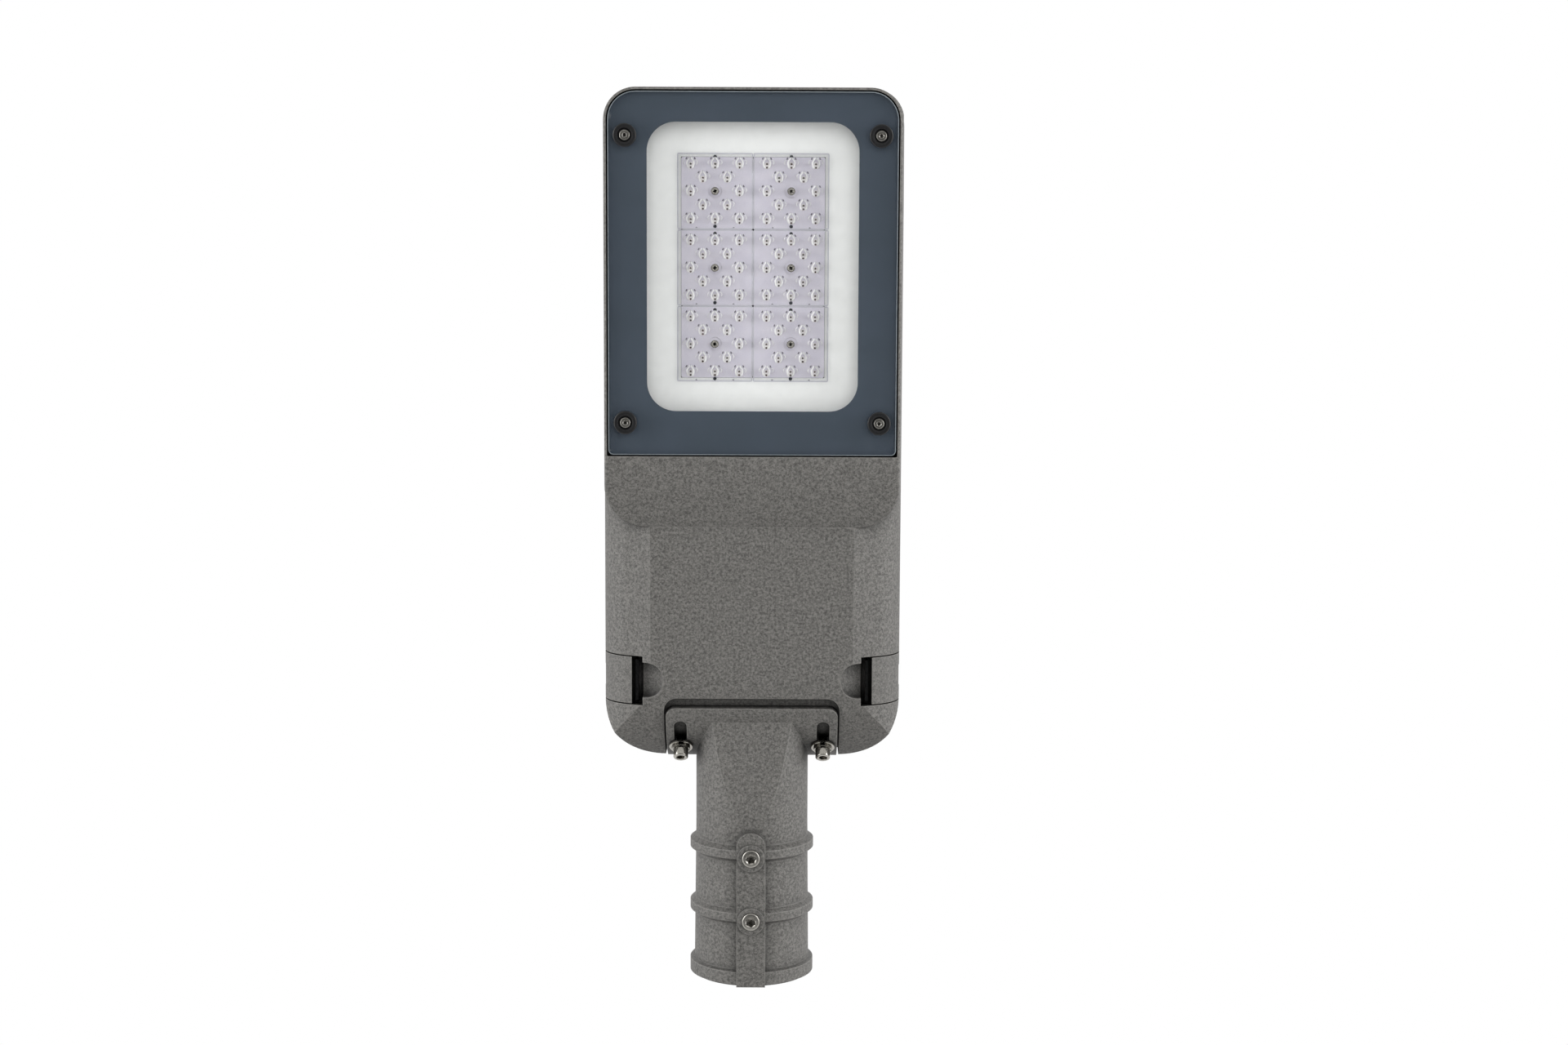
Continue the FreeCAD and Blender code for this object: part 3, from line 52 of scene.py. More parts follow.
def boxInMm(node):
    return [corner * 1000 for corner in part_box(node)]


def linear(hexColour):
    made = []
    for start in (1, 3, 5):
        part = int(hexColour[start:start + 2], 16) / 255
        made.append(part / 12.92 if part <= 0.04045 else ((part + 0.055) / 1.055) ** 2.4)
    return made + [1.0]


def addNode(tree, kind, settings=None, links=None):
    node = tree.nodes.new("ShaderNode" + kind)
    for key, value in (settings or {}).items():
        if isinstance(key, str) and hasattr(node, key):
            setattr(node, key, value)
        else:
            node.inputs[key].default_value = value
    for key, source in (links or {}).items():
        tree.links.new(source, node.inputs[key])
    return node


def newTree(name):
    material = bpy.data.materials.new(name)
    material.use_nodes = True
    material.node_tree.nodes.clear()
    return material, material.node_tree


def closeTree(tree, shader):
    addNode(tree, "OutputMaterial", None, {"Surface": shader.outputs[0]})


def noiseOf(tree, grain, detail=2.0, roughness=0.6, distortion=0.0):
    place = addNode(tree, "TexCoord")
    return addNode(tree, "TexNoise", {
        "Scale": 1 / (grain * mm), "Detail": detail, "Roughness": roughness, "Distortion": distortion,
    }, {"Vector": place.outputs["Object"]}).outputs[0]


def between(tree, factor, low, high):
    mix = addNode(tree, "Mix", {"data_type": "RGBA", 6: linear(low), 7: linear(high)}, {0: factor})
    return mix.outputs[2]


def stretched(tree, value, low, high, start=0.0, end=1.0):
    return addNode(tree, "MapRange", {
        "From Min": low, "From Max": high, "To Min": start, "To Max": end,
    }, {"Value": value}).outputs[0]


# where noise, the open air of the painted shade and the edges of the painted highlight begin and end to count, and
# how strongly the grain of a metal is felt
readAt = {"mottle": (0.35, 0.65), "steelGrain": (0.3, 0.7), "edge": (0.999, 0.97), "coatPaintedShade": (0.35, 0.92),
          "socket": (0.45, 0.85)}
steelBump = 0.2


def paintShadeInRecesses(tree, look, colour, low, high, start=0.0):
    # paints shade into sockets and corners: darkens a colour where ambient occlusion finds it closed in, within the
    # look's recess in mm
    openness = addNode(tree, "AmbientOcclusion", {"samples": 4, "Distance": look["recess"] * mm}).outputs["AO"]
    return addNode(tree, "Mix", {"data_type": "RGBA", 6: linear(look["shade"])},
                   {0: stretched(tree, openness, low, high, start), 7: colour}).outputs[2]


# Polyester powder sprayed on cast aluminium: a sandy, matt coat with grains about a millimetre across,
# with a lighter painted highlight along its edges and painted shade in its recesses
bodyCoat = {"dark": "#474644", "light": "#757370", "edgeHighlightColour": "#8F8D89", "edgeHighlightShare": 0.45, "grain": 0.8,
            "clump": 1.8, "contrast": (0.74, 1.26), "roughness": 0.6, "specular": 0.4, "bump": 0.5,
            "relief": 0.12, "edge": 1.1, "recess": 13.0, "shade": "#000000", "shadeStart": 0.0}
leverCoat = {"dark": "#4B4A48", "light": "#716F6C", "edgeHighlightColour": "#94928E", "edgeHighlightShare": 0.45, "grain": 0.8,
             "clump": 1.8, "contrast": (0.74, 1.26), "roughness": 0.58, "specular": 0.4, "bump": 0.4,
             "relief": 0.10, "edge": 0.8, "recess": 6.0, "shade": "#000000", "shadeStart": 0.2}


def sprayedPowderCoat(name, look):
    material, tree = newTree(name)
    fine = noiseOf(tree, look["grain"], detail=1.5, roughness=0.7)
    coarse = noiseOf(tree, look["clump"], detail=1.0)
    both = addNode(tree, "Math", {"operation": "ADD"}, {0: fine, 1: coarse}).outputs[0]
    grainy = between(tree, stretched(tree, both, *look["contrast"]), look["dark"], look["light"])
    soft = addNode(tree, "Bevel", {"samples": 6, "Radius": look["edge"] * mm})
    flat = addNode(tree, "NewGeometry")
    # the rounded normal leaves the real one only beside an edge
    match = addNode(tree, "VectorMath", {"operation": "DOT_PRODUCT"},
                    {0: soft.outputs[0], 1: flat.outputs["Normal"]}).outputs["Value"]
    # painted highlight: the colour is made lighter along edges
    edgeHighlighted = addNode(tree, "Mix", {"data_type": "RGBA", 7: linear(look["edgeHighlightColour"])},
                    {0: stretched(tree, match, *readAt["edge"], 0.0, look["edgeHighlightShare"]), 6: grainy}).outputs[2]
    # painted shade: the coat darkens in its recesses
    colour = paintShadeInRecesses(tree, look, edgeHighlighted, *readAt["coatPaintedShade"], look["shadeStart"])
    bump = addNode(tree, "Bump", {"Strength": look["bump"], "Distance": look["relief"] * mm},
                   {"Height": fine, "Normal": soft.outputs[0]})
    coat = addNode(tree, "BsdfPrincipled", {"Roughness": look["roughness"], "Specular IOR Level": look["specular"]},
                   {"Base Color": colour, "Normal": bump.outputs[0]})
    closeTree(tree, coat)
    return material


# Toughened soda-lime glass, float made: clear, so the white plate stays white behind it
paneGlass = {"colour": "#FFFFFF", "ior": 1.52, "roughness": 0.0}
# Acrylic, injection moulded in a polished tool: water clear
lensAcrylic = {"colour": "#FFFFFF", "ior": 1.49, "roughness": 0.0}


def clearGlass(name, look):
    material, tree = newTree(name)
    body = addNode(tree, "BsdfPrincipled", {
        "Base Color": linear(look["colour"]), "Roughness": look["roughness"], "IOR": look["ior"],
        "Transmission Weight": 1.0,
    })
    clear = addNode(tree, "BsdfTransparent", {"Color": linear(look["colour"])})
    # lamps shine straight through it, so what lies behind stays lit
    rays = addNode(tree, "LightPath")
    both = addNode(tree, "MixShader", None, {
        0: rays.outputs["Is Shadow Ray"], 1: body.outputs[0], 2: clear.outputs[0],
    })
    closeTree(tree, both)
    return material


# Ceramic ink fired on the glass: flat blue grey with the faintest cloud
fritInk = {"dark": "#3A444F", "light": "#3D4753", "grain": 40, "roughness": 0.55}
# Glass edge, ground before toughening: matt and greyish
groundGlass = {"dark": "#6C747A", "light": "#7C848A", "grain": 1.5, "roughness": 0.35}
# White powder coat on steel sheet: satin, with a very fine peel
sheetWhite = {"dark": "#F6F8F7", "light": "#FAFCFB", "grain": 6, "roughness": 0.45, "bump": 0.05, "relief": 0.05}
# White solder mask on an aluminium board, which reads a cool lilac under the lenses
boardMask = {"dark": "#E5E2EF", "light": "#EBE8F3", "grain": 9, "roughness": 0.35, "bump": 0.03, "relief": 0.03}
# Epoxy body of the light chips, and the bare contacts that show under the lens
chipEpoxy = {"dark": "#F1EDEF", "light": "#FBF8F6", "grain": 12.0, "roughness": 0.4}
chipContact = {"dark": "#120605", "light": "#43201A", "grain": 14.0, "roughness": 0.5}
# Satin, almost pure white bands that are a painted highlight for the bright arcs the clear lens domes refract, and
# frosted acrylic at the foot of the skirt, where the lens mould was blasted
arcHighlightWhite = {"dark": "#FCFCFC", "light": "#FFFFFF", "grain": 3.0, "roughness": 0.25}
footFrost = {"dark": "#DCDCE5", "light": "#E2E2EA", "grain": 4.0, "roughness": 0.4}
# Screen-printed ink on the boards, whose grey also makes spots of painted shade beside each lens, and black pegs that
# are painted shade for the small dark holes at both ends of each module
boardPrintAndShade = {"dark": "#77747F", "light": "#918E99", "grain": 6.0, "roughness": 0.5}
holeShadeBlack = {"dark": "#2C2E33", "light": "#383A40", "grain": 1.0, "roughness": 0.5}
# Glass-filled nylon, injection moulded: black, a soft sheen and a faint spark-eroded grain
capNylon = {"dark": "#141415", "light": "#1C1C1E", "grain": 0.8, "roughness": 0.42, "bump": 0.10, "relief": 0.04}
# Silicone rubber, moulded: black and matt with a dusty bloom
sealSilicone = {"dark": "#161616", "light": "#202020", "grain": 2.0, "roughness": 0.75, "bump": 0.10, "relief": 0.05}
# PVC sheath, extruded: black with a soft sheen
leadSheath = {"dark": "#1B1B1C", "light": "#232325", "grain": 1.5, "roughness": 0.5, "bump": 0.08, "relief": 0.03}
# ABS case of the surge protector and nylon terminal block, both injection moulded with a fine grain
surgeCase = {"dark": "#232529", "light": "#2C2E33", "grain": 0.9, "roughness": 0.5, "bump": 0.15, "relief": 0.05}
terminalNylon = {"dark": "#BDBDB6", "light": "#CBCBC4", "grain": 1.2, "roughness": 0.45, "bump": 0.08, "relief": 0.04}


def mottled(name, look):
    material, tree = newTree(name)
    grain = noiseOf(tree, look["grain"])
    links = {"Base Color": between(tree, stretched(tree, grain, *readAt["mottle"]), look["dark"], look["light"])}
    if "bump" in look:
        links["Normal"] = addNode(tree, "Bump", {"Strength": look["bump"], "Distance": look["relief"] * mm},
                                  {"Height": grain}).outputs[0]
    skin = addNode(tree, "BsdfPrincipled", {"Roughness": look["roughness"]}, links)
    closeTree(tree, skin)
    return material


# A2 stainless steel, cold headed and tumbled: bright, with painted shade that keeps the sockets dark
boltSteel = {"dark": "#93908A", "light": "#BDBAB3", "grain": 0.5, "smooth": 0.06, "rough": 0.18, "relief": 0.01,
             "recess": 1.2, "shade": "#0E0E0D"}
# Clip and pole screws of the same steel, brushed: satin, without mirror spots, with the same painted shade in the
# sockets
socketSteel = {"dark": "#AAA7A1", "light": "#CBC8C2", "grain": 0.4, "smooth": 0.30, "rough": 0.46, "relief": 0.02,
               "recess": 2.0, "shade": "#0E0E0D"}
# Lens screws of the same steel, washed in acid: a bright rim with dark patches, and painted shade in the cross recess
lensScrewSteel = {"dark": "#56544F", "light": "#D2CFC8", "grain": 0.45, "smooth": 0.14, "rough": 0.30, "relief": 0.04,
                  "recess": 1.3, "shade": "#0B0B0A"}
# Spring steel wire and pressed strip, passivated: greyer and a little rougher
wireSteel = {"dark": "#8A8885", "light": "#A8A6A2", "grain": 0.8, "smooth": 0.25, "rough": 0.42, "relief": 0.02}
stripSteel = {"dark": "#3A3A3B", "light": "#4A4A4B", "grain": 0.8, "smooth": 0.30, "rough": 0.45, "relief": 0.02}
# Drawn aluminium case of the driver: pale, with long draw lines
caseAluminium = {"dark": "#B4B5B6", "light": "#CBCCCD", "grain": 1.2, "smooth": 0.30, "rough": 0.45, "relief": 0.03}


def metal(name, look):
    material, tree = newTree(name)
    grain = noiseOf(tree, look["grain"], detail=3.0, distortion=0.4)
    colour = between(tree, stretched(tree, grain, *readAt["steelGrain"]), look["dark"], look["light"])
    # painted shade in the sockets and recesses
    if "recess" in look:
        colour = paintShadeInRecesses(tree, look, colour, *readAt["socket"])
    skin = addNode(tree, "BsdfPrincipled", {"Metallic": 1.0}, {
        "Base Color": colour,
        "Roughness": stretched(tree, grain, *readAt["steelGrain"], look["smooth"], look["rough"]),
        "Normal": addNode(tree, "Bump", {"Strength": steelBump, "Distance": look["relief"] * mm},
                          {"Height": grain}).outputs[0],
    })
    closeTree(tree, skin)
    return material


coatOnCasting = sprayedPowderCoat("powderCoatOnCastAluminium", bodyCoat)
coatOnLever = sprayedPowderCoat("powderCoatOnLever", leverCoat)
floatGlass = clearGlass("toughenedFloatGlass", paneGlass)
mouldedAcrylic = clearGlass("mouldedAcrylicLens", lensAcrylic)
firedInk = mottled("firedCeramicInk", fritInk)
groundEdge = mottled("groundGlassEdge", groundGlass)
whiteSheet = mottled("whiteCoatedSheet", sheetWhite)
solderMask = mottled("whiteSolderMask", boardMask)
chipBody = mottled("mouldedChipEpoxy", chipEpoxy)
chipDots = mottled("chipContactSpots", chipContact)
paintedArcHighlight = mottled("paintedArcHighlightWhite", arcHighlightWhite)
frostedFoot = mottled("frostedAcrylicFoot", footFrost)
printAndShadeGrey = mottled("greyPrintAndPaintedShade", boardPrintAndShade)
paintedHoleShade = mottled("blackPaintedHoleShade", holeShadeBlack)
blackNylon = mottled("mouldedBlackNylon", capNylon)
blackSilicone = mottled("mouldedBlackSilicone", sealSilicone)
blackSheath = mottled("extrudedLeadSheath", leadSheath)
surgeShell = mottled("mouldedSurgeCase", surgeCase)
paleNylon = mottled("mouldedPaleNylon", terminalNylon)
stainless = metal("stainlessSteelTumbled", boltSteel)
satinSteel = metal("stainlessSteelBrushed", socketSteel)
washedSteel = metal("stainlessSteelWashed", lensScrewSteel)
springWire = metal("passivatedSpringSteel", wireSteel)
darkStrip = metal("blackenedSpringStrip", stripSteel)
drawnAluminium = metal("drawnAluminiumCase", caseAluminium)
print("materials made,", len(bpy.data.materials))


def addPiece(name, bm, body, material, replaces=(), sharpAngle=38):
    bmesh.ops.recalc_face_normals(bm, faces=bm.faces)
    mesh = bpy.data.meshes.new(name)
    bm.to_mesh(mesh)
    bm.free()
    mesh.materials.append(material)
    mesh.shade_smooth()
    mesh.set_sharp_from_angle(angle=math.radians(sharpAngle))
    piece = bpy.data.objects.new(name, mesh)
    bpy.context.scene.collection.objects.link(piece)
    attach(piece, body)
    if replaces:
        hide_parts(*replaces)
    return piece


def roundRadius(turn, size):
    return size


def hexRadius(turn, size):
    step = math.radians(60)
    return size / 2 / math.cos((turn % step) - step / 2)


def turned(bm, rings, place, steps=48, bored=False):
    # rings from one end to the other: outline, size in mm and height in mm above the seat
    # the last ring of a bored piece is joined to its first
    rows = []
    for outline, size, height in rings:
        row = []
        for index in range(steps):
            turn = 2 * math.pi * index / steps
            radius = outline(turn, size)
            spot = Vector((radius * math.cos(turn), radius * math.sin(turn), height)) * mm
            row.append(bm.verts.new(place @ spot))
        rows.append(row)
    if bored:
        rows.append(rows[0])
    else:
        bm.faces.new(rows[0])
        bm.faces.new(rows[-1])
    for low, high in zip(rows, rows[1:]):
        joinRings(bm, low, high)


def joinRings(bm, low, high):
    for index in range(len(low)):
        after = (index + 1) % len(low)
        bm.faces.new((low[index], low[after], high[after], high[index]))


def aimed(spot, axis, spin=0.0):
    turn = axis.to_track_quat("Z", "Y").to_matrix().to_4x4()
    return Matrix.Translation(spot) @ turn @ Matrix.Rotation(math.radians(spin), 4, "Z")


def roundedCorner(run, radius, edge, steps=5):
    # quarter round from the side of a part to its top, as ring sizes and heights
    made = []
    for index in range(steps + 1):
        turn = math.pi / 2 * index / steps
        made.append((roundRadius, radius - edge + edge * math.cos(turn), run - edge + edge * math.sin(turn)))
    return made


def roundedBox(halfX, front, back, frontRadius, backRadius, steps=12):
    # outline with round corners, anticlockwise, in mm
    points = []
    corners = [(halfX, back, backRadius, 0), (-halfX, back, backRadius, 90),
               (-halfX, front, frontRadius, 180), (halfX, front, frontRadius, 270)]
    for x, y, radius, start in corners:
        centreX = x - math.copysign(radius, x)
        centreY = y - radius if y == back else y + radius
        for index in range(steps + 1):
            turn = math.radians(start + 90 * index / steps)
            points.append((centreX + radius * math.cos(turn), centreY + radius * math.sin(turn)))
    return points


def circle(x, y, radius, steps=40):
    turns = [2 * math.pi * index / steps for index in range(steps)]
    return [(x + radius * math.cos(turn), y + radius * math.sin(turn)) for turn in turns]


def capLoops(bm, loops):
    # flat face between an outer loop and the loops inside it
    every = [vert for loop in loops for vert in loop]
    for a, b, c in tessellate_polygon([[vert.co for vert in loop] for loop in loops]):
        bm.faces.new((every[a], every[b], every[c]))


def ringAt(bm, outline, z):
    return [bm.verts.new(Vector((x, y, z)) * mm) for x, y in outline]


def plateMesh(bm, layers, holes=()):
    # outline at each height, from the lower face to the upper one, with holes that go straight through
    rings = [ringAt(bm, outline, z) for outline, z in layers]
    bores = [[ringAt(bm, hole, z) for z in (layers[0][1], layers[-1][1])] for hole in holes]
    for low, high in [*zip(rings, rings[1:]), *bores]:
        joinRings(bm, low, high)
    capLoops(bm, [rings[0]] + [bore[0] for bore in bores])
    capLoops(bm, [rings[-1]] + [bore[1] for bore in bores])


glassLow, glassHigh = boxInMm("glass_cover")
clipLow, clipHigh = boxInMm("glass_clips")
clipCap = {"radius": 7.6, "height": 3.0, "edge": 0.8, "recessRadius": 4.6, "recessDepth": 2.3, "hole": 2.2,
           "lip": 0.7, "lipEdge": 0.2, "lipDrop": 0.8, "spin": 15, "screwSpin": 22}
clipScrew = {"head": 3.4, "height": 2.0, "key": 2.5, "keyDepth": 1.4, "shank": 2.0, "length": 14.0}
clipPlaces = [(x, y) for x in (clipLow.x + clipCap["radius"], clipHigh.x - clipCap["radius"])
              for y in (clipLow.y + clipCap["radius"], clipHigh.y - clipCap["radius"])]

pane = {"frontRadius": 18.4, "backRadius": 3.4, "arris": 0.7, "arrisSoft": 0.3, "hole": 3.0, "edgeSlope": 0.95}


def buildPane():
    halfX, front, back = glassHigh.x, glassLow.y, glassHigh.y
    arris, soft = pane["arris"], pane["arris"] * pane["arrisSoft"]

    def outline(inset):
        return roundedBox(halfX - inset, front + inset, back - inset,
                          pane["frontRadius"] - inset, pane["backRadius"] - inset)
    bm = bmesh.new()
    layers = [(outline(arris), glassLow.z), (outline(soft), glassLow.z + soft),
              (outline(0), glassLow.z + arris), (outline(0), glassHigh.z - arris),
              (outline(arris), glassHigh.z)]
    plateMesh(bm, layers, [circle(x, y, pane["hole"]) for x, y in clipPlaces])
    made = addPiece("glassPane", bm, "head", floatGlass, ["glass_cover"])
    made.data.materials.append(groundEdge)
    for face in made.data.polygons:
        if abs(face.normal.z) < pane["edgeSlope"]:
            face.material_index = 1


# printed border, just inside the upper face of the glass
frit = {"inset": 0.7, "thickness": 0.06, "cover": 0.02, "windowHalfX": 69.1, "windowFront": -578.3,
        "windowBack": -390.4, "windowRadius": 19.0}


def buildFrit():
    inset = frit["inset"]
    outer = roundedBox(glassHigh.x - inset, glassLow.y + inset, glassHigh.y - inset,
                       pane["frontRadius"] - inset, pane["backRadius"] - inset)
    window = roundedBox(frit["windowHalfX"], frit["windowFront"], frit["windowBack"],
                        frit["windowRadius"], frit["windowRadius"], steps=16)
    bm = bmesh.new()
    top = glassHigh.z - frit["cover"]
    plateMesh(bm, [(outer, top - frit["thickness"]), (outer, top)],
              [window] + [circle(x, y, pane["hole"] + frit["cover"]) for x, y in clipPlaces])
    addPiece("printedBorder", bm, "head", firedInk)


buildPane()
buildFrit()
print("glass and border made")

# one lens in mm; square and point are the powers of its outline, crown and steep those of its dome
lens = {"pitchX": 16.05, "pitchY": 9.0, "shiftY": -0.25, "halfX": 2.75, "halfBack": 3.75, "halfFront": 4.1,
        "square": 3.0, "point": 1.5, "height": 3.4, "crown": 2.4, "steep": 0.7, "wingAway": 2.7, "wingX": 2.15,
        "wingY": 1.9, "wingMove": -0.4, "wingHeight": 1.7, "skin": 0.3, "steps": 40,
        "wingRings": (1.0, 0.92, 0.75, 0.5, 0.25),
        "domeRings": (1.0, 0.97, 0.92, 0.85, 0.75, 0.62, 0.45, 0.25)}
# lenses in each row of a module, in pitches from its middle
lensRows = {-2: (-1, 0, 1), -1: (-0.5, 0.5), 0: (-1, 1), 1: (-0.5, 0.5), 2: (-1, 0, 1)}
sheetLow, sheetHigh = boxInMm("lens_module_1")
boardLow = boxInMm("led_board_1")[0]
sheet = {"half": (sheetHigh.x - sheetLow.x) / 2, "corner": 1.0, "leastCorner": 0.2, "low": -31.0, "wall": 1.1,
         "skirt": 0.8, "gap": 0.05, "pitch": 50.0, "seatRadius": 4.2, "seatHeight": 0.8, "seatEdge": 0.15,
         "hole": 1.7, "arris": 0.25, "footBand": 0.01, "sharpAngle": 40}


def lensSpots():
    return [(column * lens["pitchX"], row * lens["pitchY"] + lens["shiftY"])
            for row, columns in lensRows.items() for column in columns]


def bodyRadius(turn):
    # square towards the spigot and pointed like a gothic arch towards the tip
    along = math.sin(turn)
    power, halfY = (lens["square"], lens["halfBack"]) if along > 0 else (lens["point"], lens["halfFront"])
    across = abs(math.cos(turn)) / lens["halfX"]
    return (across ** power + (abs(along) / halfY) ** power) ** (-1 / power)


def wingRadius(turn):
    # distance at which a line from the middle leaves the low lobe beside the dome
    ux, uy = abs(math.cos(turn)) / lens["wingX"], math.sin(turn) / lens["wingY"]
    cx, cy = lens["wingAway"] / lens["wingX"], lens["wingMove"] / lens["wingY"]
    a, b, c = ux * ux + uy * uy, ux * cx + uy * cy, cx * cx + cy * cy - 1
    root = b * b - a * c
    return (b + math.sqrt(root)) / a if root > 0 and b > 0 else 0.0


def lensShape(turn):
    # radius of the dome and of the whole lens that way, and how high the low lobe is beside the dome
    body = bodyRadius(turn)
    outer = max(body + lens["skin"], wingRadius(turn))
    reach = lens["wingAway"] + lens["wingX"] - lens["halfX"] - lens["skin"]
    share = min(1.0, max(0.0, (outer - body - lens["skin"]) / reach))
    return body, outer, lens["wingHeight"] * math.sqrt(share)


def wingPoint(shape, share):
    body, outer, low = shape
    return body + (outer - body) * share, low * math.sqrt(1 - share ** 2)


def domePoint(shape, share):
    body, outer, low = shape
    return body * share, low + (lens["height"] - low) * (1 - share ** lens["crown"]) ** lens["steep"]


def addLens(bm, x, y, z):
    # gives the rim, which is the hole in the sheet, and fills it up to the crown
    steps = lens["steps"]
    turns = [2 * math.pi * index / steps for index in range(steps)]
    shapes = [lensShape(turn) for turn in turns]

    def ring(place, share):
        row = []
        for turn, shape in zip(turns, shapes):
            radius, rise = place(shape, share)
            row.append(bm.verts.new(Vector((x + radius * math.cos(turn), y + radius * math.sin(turn),
                                            z - rise)) * mm))
        return row
    rings = [ring(wingPoint, share) for share in lens["wingRings"]]
    rings += [ring(domePoint, share) for share in lens["domeRings"]]
    for low, high in zip(rings, rings[1:]):
        joinRings(bm, low, high)
    crown = bm.verts.new(Vector((x, y, z - lens["height"])) * mm)
    for index in range(steps):
        bm.faces.new((rings[-1][index], rings[-1][(index + 1) % steps], crown))
    return rings[0]


def buildLensSheet(number):
    low, high = boxInMm("lens_module_%d" % number)
    centreX, centreY = (low.x + high.x) / 2, (low.y + high.y) / 2
    bm = bmesh.new()

    def square(inset):
        half, corner = sheet["half"] - inset, max(sheet["leastCorner"], sheet["corner"] - inset)
        return [(centreX + x, centreY + y) for x, y in roundedBox(half, -half, half, corner, corner, steps=4)]
    face, inside = sheet["low"], sheet["low"] + sheet["wall"]
    seatTop, edge = sheet["low"] - sheet["seatHeight"], sheet["seatEdge"]
    skirtTop = boardLow.z - sheet["gap"]
    outer = [ringAt(bm, square(sheet["arris"]), face), ringAt(bm, square(0), face + sheet["arris"]),
             ringAt(bm, square(0), skirtTop), ringAt(bm, square(sheet["skirt"]), skirtTop),
             ringAt(bm, square(sheet["skirt"]), inside)]
    # boss that the screw stands on
    seat = [ringAt(bm, circle(centreX, centreY, radius), z) for radius, z in (
        (sheet["seatRadius"] + edge, face), (sheet["seatRadius"], seatTop + edge),
        (sheet["seatRadius"] - edge, seatTop), (sheet["hole"], seatTop), (sheet["hole"], inside))]
    for rings in (outer, seat):
        for first, second in zip(rings, rings[1:]):
            joinRings(bm, first, second)
    spots = [(centreX + x, centreY + y) for x, y in lensSpots()]
    capLoops(bm, [outer[0], seat[0]] + [addLens(bm, x, y, face) for x, y in spots])
    capLoops(bm, [outer[-1], seat[-1]] + [addLens(bm, x, y, inside) for x, y in spots])
    made = addPiece("lensSheet%d" % number, bm, "head", mouldedAcrylic,
                    ["lens_module_%d" % number], sheet["sharpAngle"])
    # the foot of the skirt is frosted
    made.data.materials.append(frostedFoot)
    for polygon in made.data.polygons:
        if polygon.center.z > (skirtTop - sheet["footBand"]) * mm:
            polygon.material_index = 1
    return centreX, centreY


moduleCentres = [buildLensSheet(number) for number in range(1, 7)]
print("lens sheets made,", len(moduleCentres))

# bands of painted highlight for the bright arcs the domes refract: shares of the lens's radius, heights in mm, and
# angles in degrees from straight sideways
arcHighlightBand = {"domeShares": (0.66, 0.78, 0.9, 0.99), "wingShares": (0.78, 0.9, 1.0), "proud": 0.06, "root": 0.12,
       "gapFront": 6, "gapBack": 20, "wingFrom": -34, "wingTo": 20, "steps": 14}


def addArcHighlight(bm, x, y, side, start, end, place, shares):
    # band of painted highlight on the outer face of the lens, for the bright arc it refracts, from one angle to the
    # other
    rows = []
    for index in range(arcHighlightBand["steps"] + 1):
        turn = math.radians(start + (end - start) * index / arcHighlightBand["steps"])
        shape = lensShape(turn)
        outside = [place(shape, share) for share in shares]
        points = [(radius, rise + arcHighlightBand["proud"]) for radius, rise in outside]
        points += [(radius, rise - arcHighlightBand["root"]) for radius, rise in reversed(outside)]
        rows.append([bm.verts.new(Vector((x + side * radius * math.cos(turn), y + radius * math.sin(turn),
                                          sheet["low"] - rise)) * mm) for radius, rise in points])
    for low, high in zip(rows, rows[1:]):
        joinRings(bm, low, high)
    bm.faces.new(rows[0])
    bm.faces.new(rows[-1])


def buildArcHighlights():
    bm = bmesh.new()
    for centreX, centreY in moduleCentres:
        for spotX, spotY in lensSpots():
            x, y = centreX + spotX, centreY + spotY
            for side in (-1, 1):
                addArcHighlight(bm, x, y, side, arcHighlightBand["gapFront"] - 90, 90 - arcHighlightBand["gapBack"], domePoint, arcHighlightBand["domeShares"])
                addArcHighlight(bm, x, y, side, arcHighlightBand["wingFrom"], arcHighlightBand["wingTo"], wingPoint, arcHighlightBand["wingShares"])
    addPiece("lensArcHighlights", bm, "head", paintedArcHighlight)


buildArcHighlights()
print("lens ribs made")

chip = {"halfX": 1.1, "front": -0.4, "back": 3.5, "base": boardLow.z, "height": 0.6, "corner": 0.4,
        "edge": 0.1, "edgeCorner": 0.3, "edgeHeight": 0.12,
        "contactX": 0.55, "contactY": 0.5, "contacts": (0.5, 2.3), "contactHeight": 0.05}
# black pegs that are painted shade for the small dark holes at both ends of each module
peg = {"front": 22.4, "back": 22.9, "radius": 1.15, "drop": 0.35, "root": 0.6, "edge": 0.15}
# spots of painted shade beside each lens, their thickness, and the printed gate marks and ring, in mm and degrees
mark = {"awayX": 2.75, "awayY": -2.9, "short": 0.5, "long": 0.95, "lean": 27, "thickness": 0.03,
        "gateX": 12.2, "gateY": 23.9, "gateRadius": 0.6, "ring": 4.4, "ringWide": 0.25}


def movedTo(points, x, y):
    return [(x + a, y + b) for a, b in points]


def shoulderShadeSpot(x, y, side):
    # painted shade: a grey oval that leans along the shoulder of the lens
    lean = math.radians(side * mark["lean"])
    spots = circle(0, 0, 1, steps=16)
    return [(x + a * mark["short"] * math.cos(lean) + b * mark["long"] * math.sin(lean),
             y - a * mark["short"] * math.sin(lean) + b * mark["long"] * math.cos(lean)) for a, b in spots]


